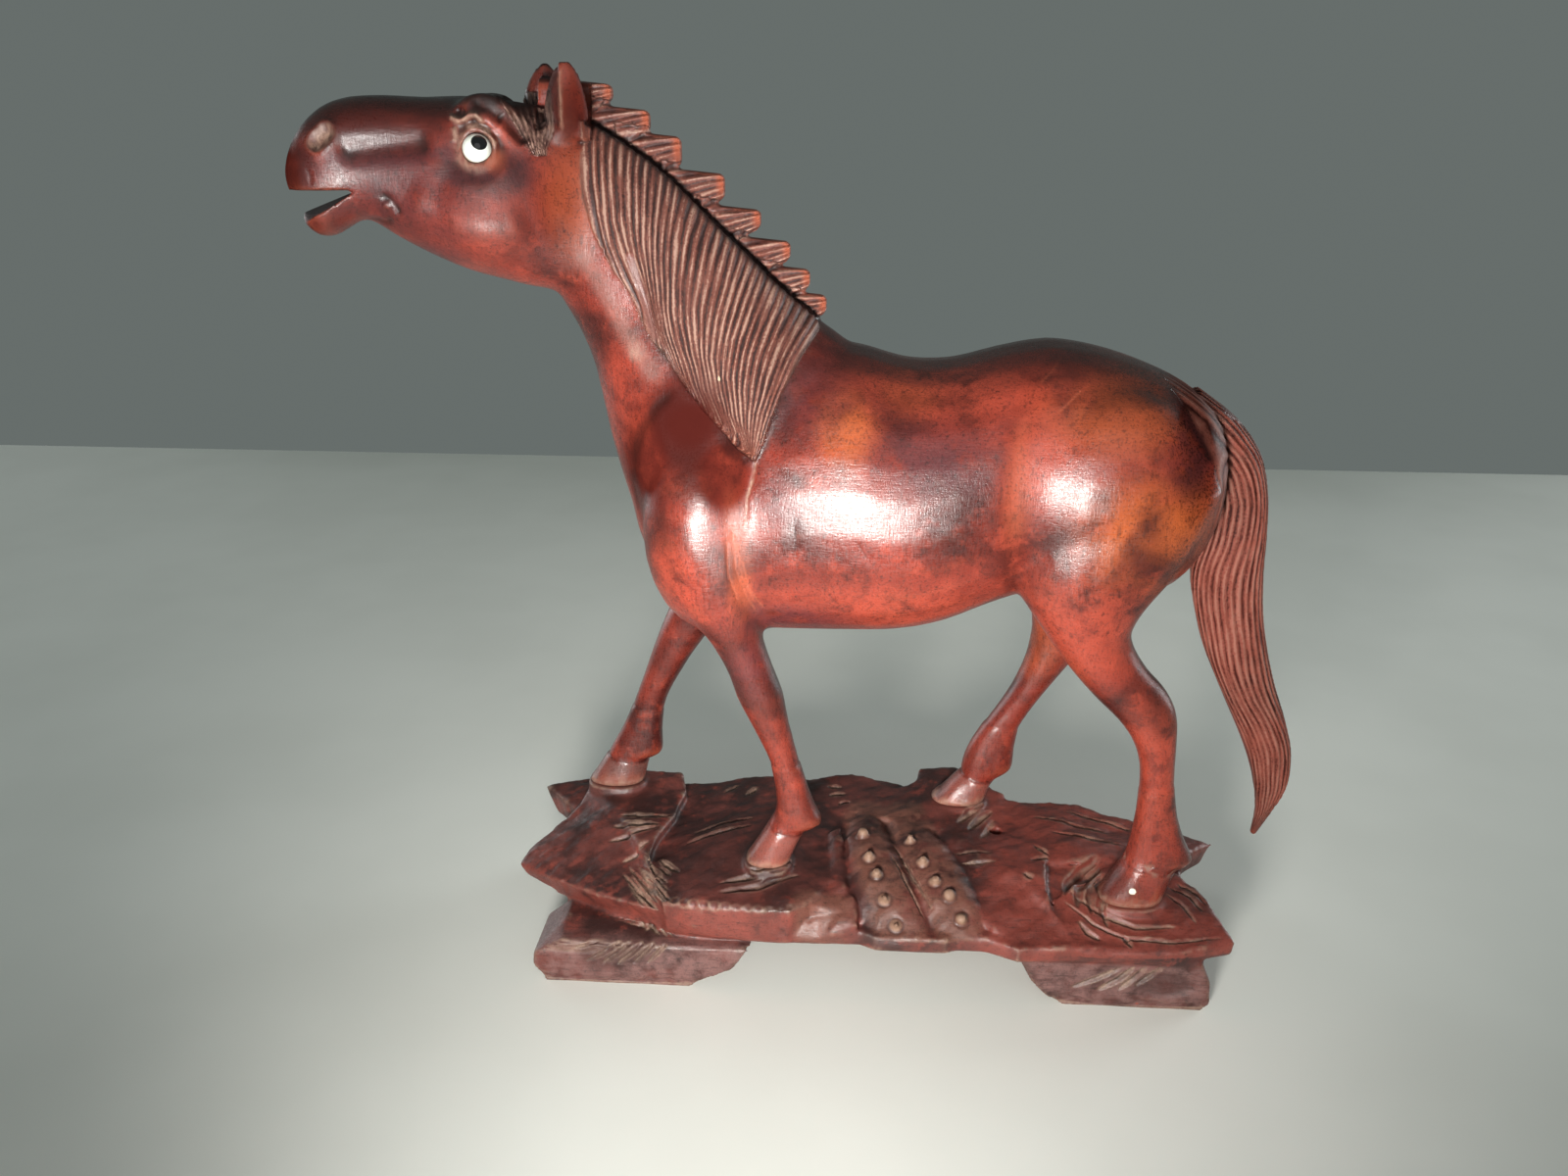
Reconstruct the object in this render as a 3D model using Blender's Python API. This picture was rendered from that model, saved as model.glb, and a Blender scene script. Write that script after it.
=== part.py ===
"""Carved wooden horse with glass eyes, standing on a carved rock stand.

Metres, +Z up. The horse looks along -X, its left side faces -Y, and the origin is
the middle of the whole object's box, on the surface that the stand rests on.
"""
import math

import bmesh
import bpy
import numpy as np
from mathutils import Matrix, Vector

# Driving dimensions, metres
FIGURE_HEIGHT = 0.144        # deck of the stand to the tips of the ears
STAND_LENGTH = 0.1395        # left tip to right tip of the rock slab
STAND_DEPTH = 0.047          # near edge to far edge of the rock slab
FOOT_HEIGHT = 0.010          # clear height under the slab
DECK_HEIGHT = 0.018          # level of the rock that the figure's own heights start from
EYE_DIAMETER = 0.0046        # glass bead
STUD_DIAMETER = 0.0023       # conical studs along the two ribs
STUD_HEIGHT = 0.0011
TOUCH_GAP = 0.0003           # kept between pieces that touch
HEAD_YAW = math.radians(10)  # the head is turned a little to the horse's left

# Fineness of the carving, metres and triangles
SOFT_VOXEL = 0.0008
CRISP_VOXEL = 0.0006
SOFT_RUBS = 8                # smoothing passes over the round masses
CRISP_RUBS = 2               # smoothing passes once hooves, ears, tail and tufts are on
HORSE_TRIANGLES = 6100

# The carver's grid. The figure is 144 squares high, and its deck is at row 18.
# The stand's plan is 139.5 by 47 squares. Its rock rises from row 10 to the deck at row
# 18, and its highest plates go on to row 24.
SQUARE = FIGURE_HEIGHT / 144
DECK_ROW = 18
PLAN_X = STAND_LENGTH / 139.5
PLAN_Y = STAND_DEPTH / 47
UNDERSIDE_ROW = 10
ROCK_ROW = (DECK_HEIGHT - FOOT_HEIGHT) / (DECK_ROW - UNDERSIDE_ROW)
HEAD_PIVOT_X = -48

# Side-view stations of the body: lower x, z, upper x, z, half thickness and the
# height of the widest point as a share of the section, all on the carver's grid.
TRUNK = [
    (-40.8, 80.0, -41.0, 90.0, 6.0, 0.50),
    (-38.4, 73.0, -38.6, 100.0, 12.0, 0.45),
    (-33.0, 68.6, -33.0, 107.0, 16.0, 0.45),
    (-25.0, 67.0, -24.0, 112.0, 18.6, 0.45),
    (-15.0, 66.9, -14.0, 117.0, 20.4, 0.46),
    (-5.0, 67.2, -5.0, 117.8, 21.6, 0.46),
    (4.0, 67.8, 4.0, 115.4, 22.0, 0.46),
    (12.0, 69.6, 12.0, 115.4, 21.6, 0.47),
    (20.0, 73.0, 20.0, 117.5, 20.6, 0.48),
    (28.0, 75.6, 28.0, 118.9, 19.8, 0.50),
    (36.0, 76.0, 36.0, 117.8, 20.2, 0.52),
    (44.0, 75.0, 44.0, 115.3, 19.6, 0.55),
    (51.0, 77.0, 51.4, 111.8, 17.2, 0.55),
    (56.0, 84.0, 56.6, 107.0, 12.6, 0.52),
    (58.4, 91.0, 58.8, 100.5, 5.0, 0.50),
]
NECK = [
    (-58.0, 132.5, -46.5, 153.0, 8.2, 0.50),
    (-54.2, 125.6, -41.0, 149.4, 9.3, 0.46),
    (-51.0, 119.8, -35.5, 145.4, 9.8, 0.44),
    (-49.0, 114.4, -29.2, 139.6, 10.2, 0.42),
    (-47.8, 108.6, -23.4, 134.2, 11.2, 0.42),
    (-46.7, 102.4, -18.0, 128.6, 12.6, 0.42),
    (-45.2, 96.2, -12.0, 122.8, 14.4, 0.42),
    (-43.4, 90.0, -5.0, 117.6, 16.6, 0.44),
    (-41.8, 83.0, 3.0, 110.0, 17.6, 0.46),
    (-37.0, 77.0, 6.0, 98.0, 16.0, 0.50),
]
HEAD = [
    (-49.0, 129.5, -45.5, 150.5, 5.5, 0.50),
    (-52.5, 127.0, -50.0, 153.8, 8.2, 0.46),
    (-57.0, 126.8, -55.0, 155.3, 9.4, 0.42),
    (-62.5, 128.2, -61.5, 156.4, 10.2, 0.40),
    (-68.5, 129.9, -67.5, 157.0, 9.8, 0.40),
    (-74.3, 132.4, -73.8, 156.8, 8.6, 0.44),
    (-79.8, 135.4, -79.6, 157.1, 7.6, 0.50),
    (-84.2, 138.2, -85.0, 156.9, 7.2, 0.52),
    (-87.2, 137.0, -88.8, 155.9, 7.2, 0.50),
    (-90.0, 135.5, -91.8, 153.9, 6.9, 0.48),
    (-92.2, 135.7, -94.2, 151.2, 6.2, 0.46),
    (-93.8, 137.2, -95.7, 148.2, 5.1, 0.45),
    (-94.8, 139.6, -96.5, 145.6, 3.4, 0.45),
]
TAIL = [
    (50.0, 104.0, 53.5, 111.2, 2.4, 0.50),
    (53.8, 101.0, 60.0, 106.4, 3.6, 0.50),
    (56.0, 97.0, 64.4, 101.0, 4.2, 0.50),
    (57.0, 91.5, 66.6, 94.6, 4.4, 0.50),
    (56.6, 85.8, 67.7, 86.6, 4.5, 0.50),
    (55.7, 79.2, 68.2, 79.2, 4.4, 0.50),
    (56.9, 72.6, 69.2, 71.4, 4.2, 0.50),
    (59.4, 64.6, 70.8, 64.4, 4.0, 0.50),
    (63.3, 56.2, 73.2, 57.0, 3.7, 0.50),
    (67.4, 48.2, 76.2, 49.4, 3.3, 0.50),
    (70.4, 41.6, 78.1, 43.2, 2.9, 0.50),
    (72.4, 35.4, 78.4, 36.0, 2.4, 0.50),
    (73.3, 30.2, 76.6, 30.8, 1.6, 0.50),
    (73.0, 25.0, 74.0, 25.0, 0.7, 0.50),
]

# Leg stations: front x, z, back x, z and half thickness, down to the crown of the
# hoof. The hoof below it is a slanted cone that ends on its flat sole. A leg leaves
# the body at LEG_ROOT_Y and stands at its own y.
LEGS = {
    "near_fore": dict(y=-10.4, sole=22.4, toe=-23.0, heel=-14.6, width=4.2,
                      crown=(-18.6, 30.0, -12.3, 28.2), rows=[
        (-37.6, 84.0, -18.0, 84.0, 8.2), (-35.6, 77.0, -20.0, 76.0, 7.4),
        (-32.0, 72.2, -20.0, 71.2, 6.2), (-28.9, 68.2, -19.0, 66.8, 5.0),
        (-25.8, 62.0, -17.5, 62.1, 4.3), (-24.2, 56.7, -15.8, 57.3, 4.0),
        (-22.0, 51.9, -14.9, 51.9, 3.6), (-19.9, 47.2, -13.8, 47.2, 3.1),
        (-18.2, 42.9, -12.7, 42.7, 2.8), (-17.3, 37.5, -11.1, 37.1, 2.8),
        (-17.2, 33.8, -9.7, 33.3, 3.1), (-17.7, 31.6, -8.7, 30.6, 3.2),
        (-18.3, 30.4, -11.6, 29.0, 3.1)]),
    "far_fore": dict(y=13.0, sole=25.0, toe=-57.6, heel=-46.4, width=4.2,
                     crown=(-53.6, 30.8, -45.3, 29.6), rows=[
        (-34.0, 84.0, -16.0, 82.0, 7.6), (-35.0, 76.0, -22.0, 70.0, 7.0),
        (-36.8, 69.0, -28.0, 64.0, 5.8), (-40.0, 63.4, -31.6, 59.4, 4.8),
        (-42.7, 56.9, -35.3, 54.2, 4.1), (-44.6, 51.6, -37.9, 49.8, 3.6),
        (-46.4, 46.6, -40.4, 45.2, 3.1), (-48.2, 41.8, -41.8, 41.0, 2.8),
        (-50.0, 37.6, -42.3, 36.6, 2.9), (-51.6, 34.6, -42.3, 33.0, 3.1),
        (-52.6, 32.8, -42.8, 31.2, 3.2), (-53.3, 31.4, -45.0, 30.2, 3.2)]),
    "near_hind": dict(y=-10.4, sole=17.2, toe=43.2, heel=55.0, width=4.6,
                      crown=(47.3, 25.0, 56.8, 23.4), rows=[
        (22.8, 95.0, 56.4, 98.0, 9.0), (22.6, 87.0, 53.8, 90.0, 9.6),
        (23.2, 80.4, 50.2, 83.0, 9.2), (27.4, 73.6, 45.4, 76.0, 7.8),
        (33.4, 65.2, 43.9, 70.8, 6.2), (38.8, 58.9, 47.2, 64.7, 5.0),
        (43.2, 54.5, 50.8, 60.8, 4.4), (46.2, 50.4, 53.4, 56.1, 4.2),
        (48.0, 45.6, 54.2, 49.4, 3.7), (48.6, 39.8, 54.7, 41.4, 3.3),
        (48.6, 34.9, 56.0, 34.7, 3.3), (48.3, 30.8, 58.0, 29.4, 3.5),
        (47.8, 27.4, 59.7, 25.6, 3.7), (47.5, 25.6, 57.4, 24.0, 3.8)]),
    "far_hind": dict(y=13.0, sole=23.2, toe=12.8, heel=23.4, width=4.2,
                     crown=(18.5, 29.2, 24.9, 27.4), rows=[
        (24.0, 90.0, 50.0, 92.0, 8.2), (24.0, 82.0, 47.0, 80.0, 8.0),
        (26.6, 74.0, 44.0, 70.0, 7.0), (29.4, 67.4, 41.8, 61.6, 5.6),
        (30.4, 61.6, 39.6, 56.4, 4.6), (29.6, 55.2, 36.6, 52.0, 4.1),
        (27.6, 49.4, 33.6, 47.4, 3.6), (25.0, 44.4, 31.2, 43.2, 3.1),
        (22.4, 40.2, 29.3, 39.2, 2.9), (20.2, 36.2, 28.8, 35.2, 3.0),
        (19.0, 33.0, 28.7, 31.6, 3.2), (18.6, 31.0, 28.0, 29.8, 3.2),
        (18.5, 29.8, 25.6, 28.2, 3.1)]),
}
LEG_ROOT_Y = 12.3
LEG_ROOT_ROW = 72
LEG_CROWN_ROW = 30
SOLE_ALLOWANCE = 1.0         # squares of hoof below the sole, which the sole cut takes off
SOLE_CUT_MARGIN = 4
HOOF_LIP = 0.15              # squares by which the hoof's crown stands out from the leg

# Round masses that swell out of the body: centre x, y, z and radii, in squares
SHOULDER = ((-28.8, 11.0, 87.5), (11.2, 9.8, 18.0))
HAUNCH = ((37.5, 11.4, 95.0), (17.5, 10.6, 18.5))
CHEEK = ((-63.5, 4.6, 140.6), (10.5, 7.0, 10.6))
BROW = ((-64.0, 5.4, 153.8), (5.0, 3.2, 3.8))
EYE_AT = (-65.2, 8.3, 149.2)
NOSTRIL_AT = (-89.0, 6.6, 150.9)
NOSTRIL_SIZE = (2.0, 1.2, 1.25)
MOUTH_CORNER = (-86.2, 142.7)
MOUTH_ROOF_ROW = 142.2
MOUTH_FLOOR_SLOPE = math.radians(22)
MOUTH_REACH = 18             # squares from the mouth's corner to the cutter's open end
MOUTH_CUT_HALF = 15

# Ears: middle of the root, tip, half width at the root, half thickness
EARS = [
    ((-51.4, -5.6, 152.0), (-51.2, -6.0, 161.9), 3.7, 1.9),
    ((-56.0, 5.0, 152.8), (-55.0, 5.4, 161.6), 3.6, 1.9),
]
EAR_RINGS = 9
EAR_ROOT_SHARE = -0.15       # how far the root runs down into the head
EAR_TIP_SWELL = 0.12         # width left at the tip, as a share of the widest
EAR_EDGE_SHARE = 0.35        # thickness at the tip, as a share of the root's

# The standing crest: tip of each tuft's upper edge, height of its blunt end
TUFTS = [
    (-44.2, 158.6, 2.6), (-38.3, 154.7, 3.4), (-33.3, 150.7, 4.6), (-26.3, 145.0, 4.0),
    (-20.4, 139.4, 3.0), (-15.5, 134.4, 3.0), (-12.2, 129.9, 3.0), (-9.4, 125.7, 3.0),
]
TUFT_LENGTH = 11.5
TUFT_FALL = 0.10             # fall of a tuft's upper edge per square of length
TUFT_ROOT_HALF = 2.9
TUFT_TIP_HALF = 1.7
TUFT_ROOT_HEIGHT = 9.0
TUFT_MIDDLE_Y = 0.6
TUFT_STATIONS = (0.0, 0.35, 0.7, 0.94)
TUFT_END_CHAMFER = 0.5       # squares taken off a tuft's end, above and below

# The hanging mane: its front and back edges, which meet at its point
MANE_FRONT = [(-46.6, 152.0), (-47.3, 144.0), (-44.5, 132.5), (-39.0, 120.5), (-28.0, 108.0),
              (-20.2, 100.6)]
MANE_BACK = [(-20.2, 100.6), (-16.0, 111.0), (-12.0, 118.6), (-8.6, 123.4)]
MANE_TOP = [(-8.6, 123.4), (-22.0, 135.0), (-34.0, 146.0), (-46.6, 153.5)]
MANE_RAISE = 0.9
MANE_LOCKS = 9
MANE_EDGE = 0.8              # squares over which the mane rises at its edge
MANE_BELOW_RIDGE = 1.2       # squares from the neck's ridge to the mane's upper edge
RIDGE_HALF = 3.2             # half width of the plain ridge between both manes
TAIL_LOCKS = 4
TAIL_LOCK_ROWS = (30, 100)   # heights between which the tail has locks
TAIL_LOCK_X = 54             # the locks lie behind this line
TAIL_LOCK_HALF = 7
TAIL_LOCK_INSET = 0.4
LOCK_DEPTH = 0.45

# Rock plates of the stand: corner x, y and row of the top face, then the crown
BASE_PLATE = [
    (-61, -8), (-48, -14.8), (-36, -18.6), (-22, -20.4), (-8, -20.0), (-1.6, -20.0),
    (2, -21.9), (15, -21.7), (17.4, -20.2), (20.4, -20.0), (27.6, -23.4), (39, -22.2),
    (56, -20.8), (63, -16), (62, 6), (55, 12), (31, 17), (19, 22.4), (8, 20.5),
    (-8, 23.5), (-25, 21.4), (-45, 18.6), (-60, 16), (-63, 3),
]
BASE_PLATE_TOP_ROW = 13.4
PLATES = [
    ("arrow", [(-69.6, -5, 14.6), (-59.7, -10.8, 15), (-49, -15.4, 15), (-37, -19.4, 15),
               (-38.6, -16, 18), (-41.6, -10.6, 20.4), (-41.2, -4, 21.8), (-38.4, 3.8, 22.4),
               (-37.4, 11.4, 23.4), (-39.3, 16.6, 24.2), (-48, 17.4, 24.5), (-57.8, 13.6, 23.2),
               (-59.8, 8.3, 20), (-63.4, 5.2, 17.6), (-67.9, -0.2, 15.6)], (-51.5, 5.0, 22.8)),
    ("rear_spur", [(-68.6, 16.6, 20), (-60, 8.6, 19), (-50, 12, 20.6), (-50, 20, 20.6),
                   (-60, 20.0, 20.2)], (-58, 16, 21)),
    ("hollow", [(-38, -19.4, 17.2), (-31, -20.7, 18), (-20.6, -21.6, 18.2),
                (-14, -21.8, 18.2), (-10, -18.4, 18.4), (-7, -12, 18.8), (-5, 0, 19.6),
                (-7, 13, 21.2), (-9, 20, 21.8), (-19, 20.6, 22), (-25, 20, 22),
                (-37, 15.6, 21.2), (-42, 0, 19.6)], (-19.0, -9.0, 22.0)),
    ("rear_wave", [(-13, 9, 20.8), (-4, 8, 21.2), (9, 9, 22.0), (9.5, 18.6, 21.6),
                   (3.5, 21.6, 21.6), (-3.5, 22.2, 22.6), (-12, 20.8, 21.8)], (-3, 16, 21.6)),
    ("light_facet", [(-16.6, -20.8, 12.2), (-7.4, -14.6, 17.6), (-2.2, -15.6, 17.6),
                     (-1.4, -20.4, 15), (-8.9, -21.0, 11.8)], (-6.6, -18.8, 15.4)),
    ("fin", [(-7.6, 1.0, 21.3), (-5.4, 1.6, 22.0), (-3.6, -14.6, 18.2), (-7.0, -14.6, 18.0)],
     (-5.6, -6.0, 21.2)),
    ("step", [(22.0, -18.4, 15), (28.6, -23.0, 12.4), (39, -22.5, 12.6), (34.2, -15.8, 17.2),
              (33.6, -10, 20), (35, 0, 20.2), (24, 5, 20.6), (12.6, 4, 21.6),
              (16.8, -4.6, 20), (19.4, -10, 18)], (26.5, -8, 20.4)),
    ("plateau", [(9.4, 19.0, 23.0), (10.4, 22.6, 24.4), (18.6, 23.0, 24.6), (22.4, 19.4, 23.6),
                 (28, 15.4, 22.6), (27, 6, 20.6), (14, 3, 21.6), (6, 4, 22.2), (-2, 8, 21.6),
                 (3, 17, 21.8)], (15, 12, 23.2)),
    ("rear_slope", [(27, 14.4, 22.2), (43, 15.4, 20.8), (53, 12.6, 19.6), (60, 10, 17.6),
                    (59, -2, 17.8), (46, -2, 19), (33, -5, 19.4), (26, 4, 20.2)],
     (38, 6, 21)),
    ("lens", [(37, -11, 18.4), (33.2, -16.6, 16), (39.4, -22.7, 12.3), (56, -22.0, 12.8),
              (67.4, -19.4, 14), (64, -10.8, 16.8), (59.4, -3.2, 17.6), (47, -2.4, 18.2)],
     (50, -11, 17.0)),
    ("right_tip", [(69.9, 9.7, 16.4), (62, 3, 17.2), (54, 5, 17.4), (54, 12.6, 17.2),
                   (63, 12.8, 16.2)], (61, 8.6, 17.5)),
]
PLATE_TAPER = 0.965          # size of a plate's foot against its outline
PLATE_FOOT_ROW = 10.4

# Ribs: plan x, y, row of the ridge and half width along each rib
RIBS = [
    [(-2.0, 5.0, 22.4, 3.4), (-0.9, -2.5, 22.9, 4.6), (0.9, -9.5, 21.6, 5.2),
     (3.4, -16.0, 18.8, 5.4), (5.6, -21.2, 13.6, 5.0)],
    [(5.6, 6.0, 22.6, 3.4), (8.2, -2.5, 22.6, 4.6), (11.8, -9.5, 20.8, 5.0),
     (15.6, -15.6, 18.0, 5.2), (18.6, -20.4, 13.4, 4.8)],
]
RIB_LOWEST_ROW = 10.1
RIB_DEPTH = 2.9              # squares from a rib's crown to its widest level
STUDS_PER_RIB = 5
FIRST_STUD = 0.27            # share of the rib's length
LAST_STUD = 0.90
STUD_TIP_SHARE = 0.25        # width of a stud's flat tip against its foot
STUD_BURIED_SHARE = 0.5      # part of a stud's height that sits in the rib

# Feet: outline in front view, x and row above the ground, for each end
FEET = [
    [(-60.4, 0), (-62.8, 3.2), (-62.6, 6), (-57, 11), (-21, 11), (-22, 9), (-24.8, 4),
     (-30.6, 1.6), (-32.8, 0)],
    [(27.6, 11), (30.6, 4.6), (33.4, 1.6), (36.6, 0), (62, 0), (63.4, 1.2), (63, 6), (61, 11)],
]
FOOT_OUTER_Y = 21.4          # squares from the middle to a foot's outer face
FOOT_INNER_Y = 8.6
FOOT_OVERLAP = 1.05          # a foot's height with the part that is inside the slab
PAD_MARGIN = 0.5             # squares of level rock around each hoof

WOOD = (0.165, 0.028, 0.014, 1.0)
STAND_WOOD = (0.095, 0.022, 0.016, 1.0)
EYE_GLASS = (0.80, 0.82, 0.76, 1.0)


def figure_point(x, y, z):
    """A point of the figure, from the carver's grid to metres."""
    return Vector((x * SQUARE, y * SQUARE, DECK_HEIGHT + (z - DECK_ROW) * SQUARE))


def head_point(x, y, z):
    """A point of the head, which is turned about the poll."""
    turned = Matrix.Rotation(HEAD_YAW, 2) @ Vector((x - HEAD_PIVOT_X, y))
    return figure_point(HEAD_PIVOT_X + turned.x, turned.y, z)


def stand_point(x, y, row):
    """A point of the stand, from its plan and its rows to metres."""
    return Vector((x * PLAN_X, y * PLAN_Y, FOOT_HEIGHT + (row - UNDERSIDE_ROW) * ROCK_ROW))


def smooth_rows(rows, steps):
    """Catmull-Rom curve through the rows, with some steps in each span."""
    rows = np.array(rows, dtype=float)
    padded = np.vstack([2 * rows[0] - rows[1], rows, 2 * rows[-1] - rows[-2]])
    result = []
    for i in range(len(rows) - 1):
        a, b, c, d = padded[i:i + 4]
        for t in np.arange(steps) / steps:
            result.append(0.5 * (2 * b + (c - a) * t + (2 * a - 5 * b + 4 * c - d) * t ** 2
                                 + (3 * b - a - 3 * c + d) * t ** 3))
    result.append(rows[-1])
    return result


def loft(bm, rings):
    """Skin of quads over rings of points, closed at both ends."""
    loops = [[bm.verts.new(point) for point in ring] for ring in rings]
    for one, two in zip(loops, loops[1:]):
        for i in range(len(one)):
            j = (i + 1) % len(one)
            bm.faces.new((one[i], one[j], two[j], two[i]))
    faces = [bm.faces.new(loops[0][::-1]), bm.faces.new(loops[-1])]
    bmesh.ops.triangulate(bm, faces=faces)


def section(lower, upper, y, half, widest, place, power=2.2, count=28):
    """Ring of a body section between its lower and upper point in side view."""
    lower = np.array(lower)
    upper = np.array(upper)
    ring = []
    for k in range(count):
        angle = 2 * math.pi * k / count
        along = math.copysign(abs(math.cos(angle)) ** (2 / power), math.cos(angle))
        across = math.copysign(abs(math.sin(angle)) ** (2 / power), math.sin(angle))
        share = widest + along * (1 - widest if along > 0 else widest)
        x, z = lower + (upper - lower) * share
        ring.append(place(x, y + half * across, z))
    return ring


def body_loft(bm, rows, place, power=2.2):
    """Loft of one body part whose rows lie in the middle plane."""
    loft(bm, [section(row[0:2], row[2:4], 0, row[4], row[5], place, power)
              for row in smooth_rows(rows, 3)])


def leg_y(leg, row):
    """Where the middle of a leg lies across the body at a height."""
    root = math.copysign(LEG_ROOT_Y, leg["y"])
    return float(np.interp(row, (LEG_CROWN_ROW, LEG_ROOT_ROW), (leg["y"], root)))


def leg_loft(bm, leg):
    """One leg down to the crown of its hoof."""
    loft(bm, [section(row[0:2], row[2:4], leg_y(leg, row[1]), row[4], 0.5, figure_point, 2.1, 20)
              for row in smooth_rows(leg["rows"], 3)])


def hoof_ring(leg, share, grow=0.0):
    """Ring of a hoof from its sole, share 0, to its crown, share 1."""
    front = np.array((leg["toe"] - grow, leg["sole"]))
    back = np.array((leg["heel"] + grow, leg["sole"]))
    crown = np.array(leg["crown"])
    front = front + (crown[0:2] - front) * share
    back = back + (crown[2:4] - back) * share
    half = leg["width"] + (leg["rows"][-1][4] + HOOF_LIP - leg["width"]) * share + grow
    return section(front, back, leg["y"], half, 0.5, figure_point, 2.4, 20)


def hoof_loft(bm, leg):
    """The hoof, a slanted cone that runs on a little below its sole."""
    low = -SOLE_ALLOWANCE / (leg["crown"][1] - leg["sole"])
    loft(bm, [hoof_ring(leg, share) for share in (low, 0.0, 0.5, 1.0)])


def ellipsoid(bm, centre, radii, place, segments=24):
    """Round mass, placed point by point so that it turns with its part."""
    rings = []
    for k in range(1, segments // 2):
        polar = math.pi * k / (segments // 2)
        rings.append([place(centre[0] + radii[0] * math.sin(polar) * math.cos(turn),
                            centre[1] + radii[1] * math.sin(polar) * math.sin(turn),
                            centre[2] + radii[2] * math.cos(polar))
                      for turn in np.arange(segments) * 2 * math.pi / segments])
    loft(bm, rings)


def ear_loft(bm, root, tip, half_width, half_thickness):
    """Leaf-shaped ear, widest just above its root."""
    root = np.array(root)
    tip = np.array(tip)
    rings = []
    for share in np.linspace(EAR_ROOT_SHARE, 1.0, EAR_RINGS):
        centre = root + (tip - root) * share
        swell = max(EAR_TIP_SWELL, math.sqrt(1 - max(share, 0) ** 1.7))
        width = half_width * swell
        depth = half_thickness * (EAR_EDGE_SHARE + (1 - EAR_EDGE_SHARE) * swell)
        rings.append([head_point(centre[0] + width * math.cos(turn),
                                 centre[1] + depth * math.sin(turn), centre[2])
                      for turn in np.arange(16) * math.pi / 8])
    loft(bm, rings)


def tuft_loft(bm, tip_x, tip_z, blunt):
    """One blunt tuft of the standing crest, running back from the ridge."""
    rings = []
    for share, chamfer in [(share, 0) for share in TUFT_STATIONS] + [(1.0, TUFT_END_CHAMFER)]:
        x = tip_x - TUFT_LENGTH * (1 - share)
        top = tip_z + TUFT_FALL * TUFT_LENGTH * (1 - share)
        low = top - TUFT_ROOT_HEIGHT + (TUFT_ROOT_HEIGHT - blunt) * share
        half = TUFT_ROOT_HALF + (TUFT_TIP_HALF - TUFT_ROOT_HALF) * share - chamfer
        rings.append(section((x, low + chamfer), (x, top - chamfer), TUFT_MIDDLE_Y, half, 0.5,
                             figure_point, 3.2, 16))
    loft(bm, rings)


def mesh_object(name, bm):
    """Object from a bmesh whose faces are turned outwards."""
    bmesh.ops.recalc_face_normals(bm, faces=bm.faces)
    mesh = bpy.data.meshes.new(name)
    bm.to_mesh(mesh)
    bm.free()
    obj = bpy.data.objects.new(name, mesh)
    bpy.context.scene.collection.objects.link(obj)
    return obj


def apply_modifiers(obj):
    """The object's mesh becomes what its modifiers show."""
    bpy.context.view_layer.update()
    evaluated = obj.evaluated_get(bpy.context.evaluated_depsgraph_get())
    mesh = bpy.data.meshes.new_from_object(evaluated)
    obj.modifiers.clear()
    old = obj.data
    obj.data = mesh
    bpy.data.meshes.remove(old)


def combine(obj, other, operation, solver="EXACT"):
    """Boolean of two objects; the second one is used up."""
    modifier = obj.modifiers.new(operation.lower(), "BOOLEAN")
    modifier.operation = operation
    modifier.object = other
    modifier.solver = solver
    apply_modifiers(obj)
    bpy.data.objects.remove(other)


def fuse(obj, voxel, passes, factor=0.5):
    """Overlapping shells become one skin, which is then rubbed down."""
    remesh = obj.modifiers.new("fuse", "REMESH")
    remesh.mode = "VOXEL"
    remesh.voxel_size = voxel
    remesh.adaptivity = 0
    smooth = obj.modifiers.new("rub", "SMOOTH")
    smooth.factor = factor
    smooth.iterations = round(passes)
    apply_modifiers(obj)


def soft_masses():
    """Trunk, neck, head, legs and swelling muscles."""
    bm = bmesh.new()
    body_loft(bm, TRUNK, figure_point, 2.15)
    body_loft(bm, NECK, figure_point, 2.2)
    body_loft(bm, HEAD, head_point, 2.35)
    for leg in LEGS.values():
        leg_loft(bm, leg)
    for side in (-1, 1):
        for centre, radii in (SHOULDER, HAUNCH):
            ellipsoid(bm, (centre[0], side * centre[1], centre[2]), radii, figure_point)
        for centre, radii in (CHEEK, BROW):
            ellipsoid(bm, (centre[0], side * centre[1], centre[2]), radii, head_point)
    return mesh_object("horse", bm)


def crisp_parts():
    """Hooves, ears, tail and the tufts of the crest, which keep sharper edges."""
    bm = bmesh.new()
    for leg in LEGS.values():
        hoof_loft(bm, leg)
    for root, tip, half_width, half_thickness in EARS:
        ear_loft(bm, root, tip, half_width, half_thickness)
    body_loft(bm, TAIL, figure_point, 2.4)
    for tip_x, tip_z, blunt in TUFTS:
        tuft_loft(bm, tip_x, tip_z, blunt)
    return mesh_object("crisp_parts", bm)


def join(obj, other):
    """Both meshes in the first object, still as separate shells."""
    bm = bmesh.new()
    bm.from_mesh(obj.data)
    bm.from_mesh(other.data)
    bm.to_mesh(obj.data)
    bm.free()
    bpy.data.objects.remove(other)


def curve_x(rows, z):
    """x of an edge at each height, with the rows sorted by height."""
    rows = np.array(sorted(rows, key=lambda row: row[1]))
    return np.interp(z, rows[:, 1], rows[:, 0])


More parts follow.
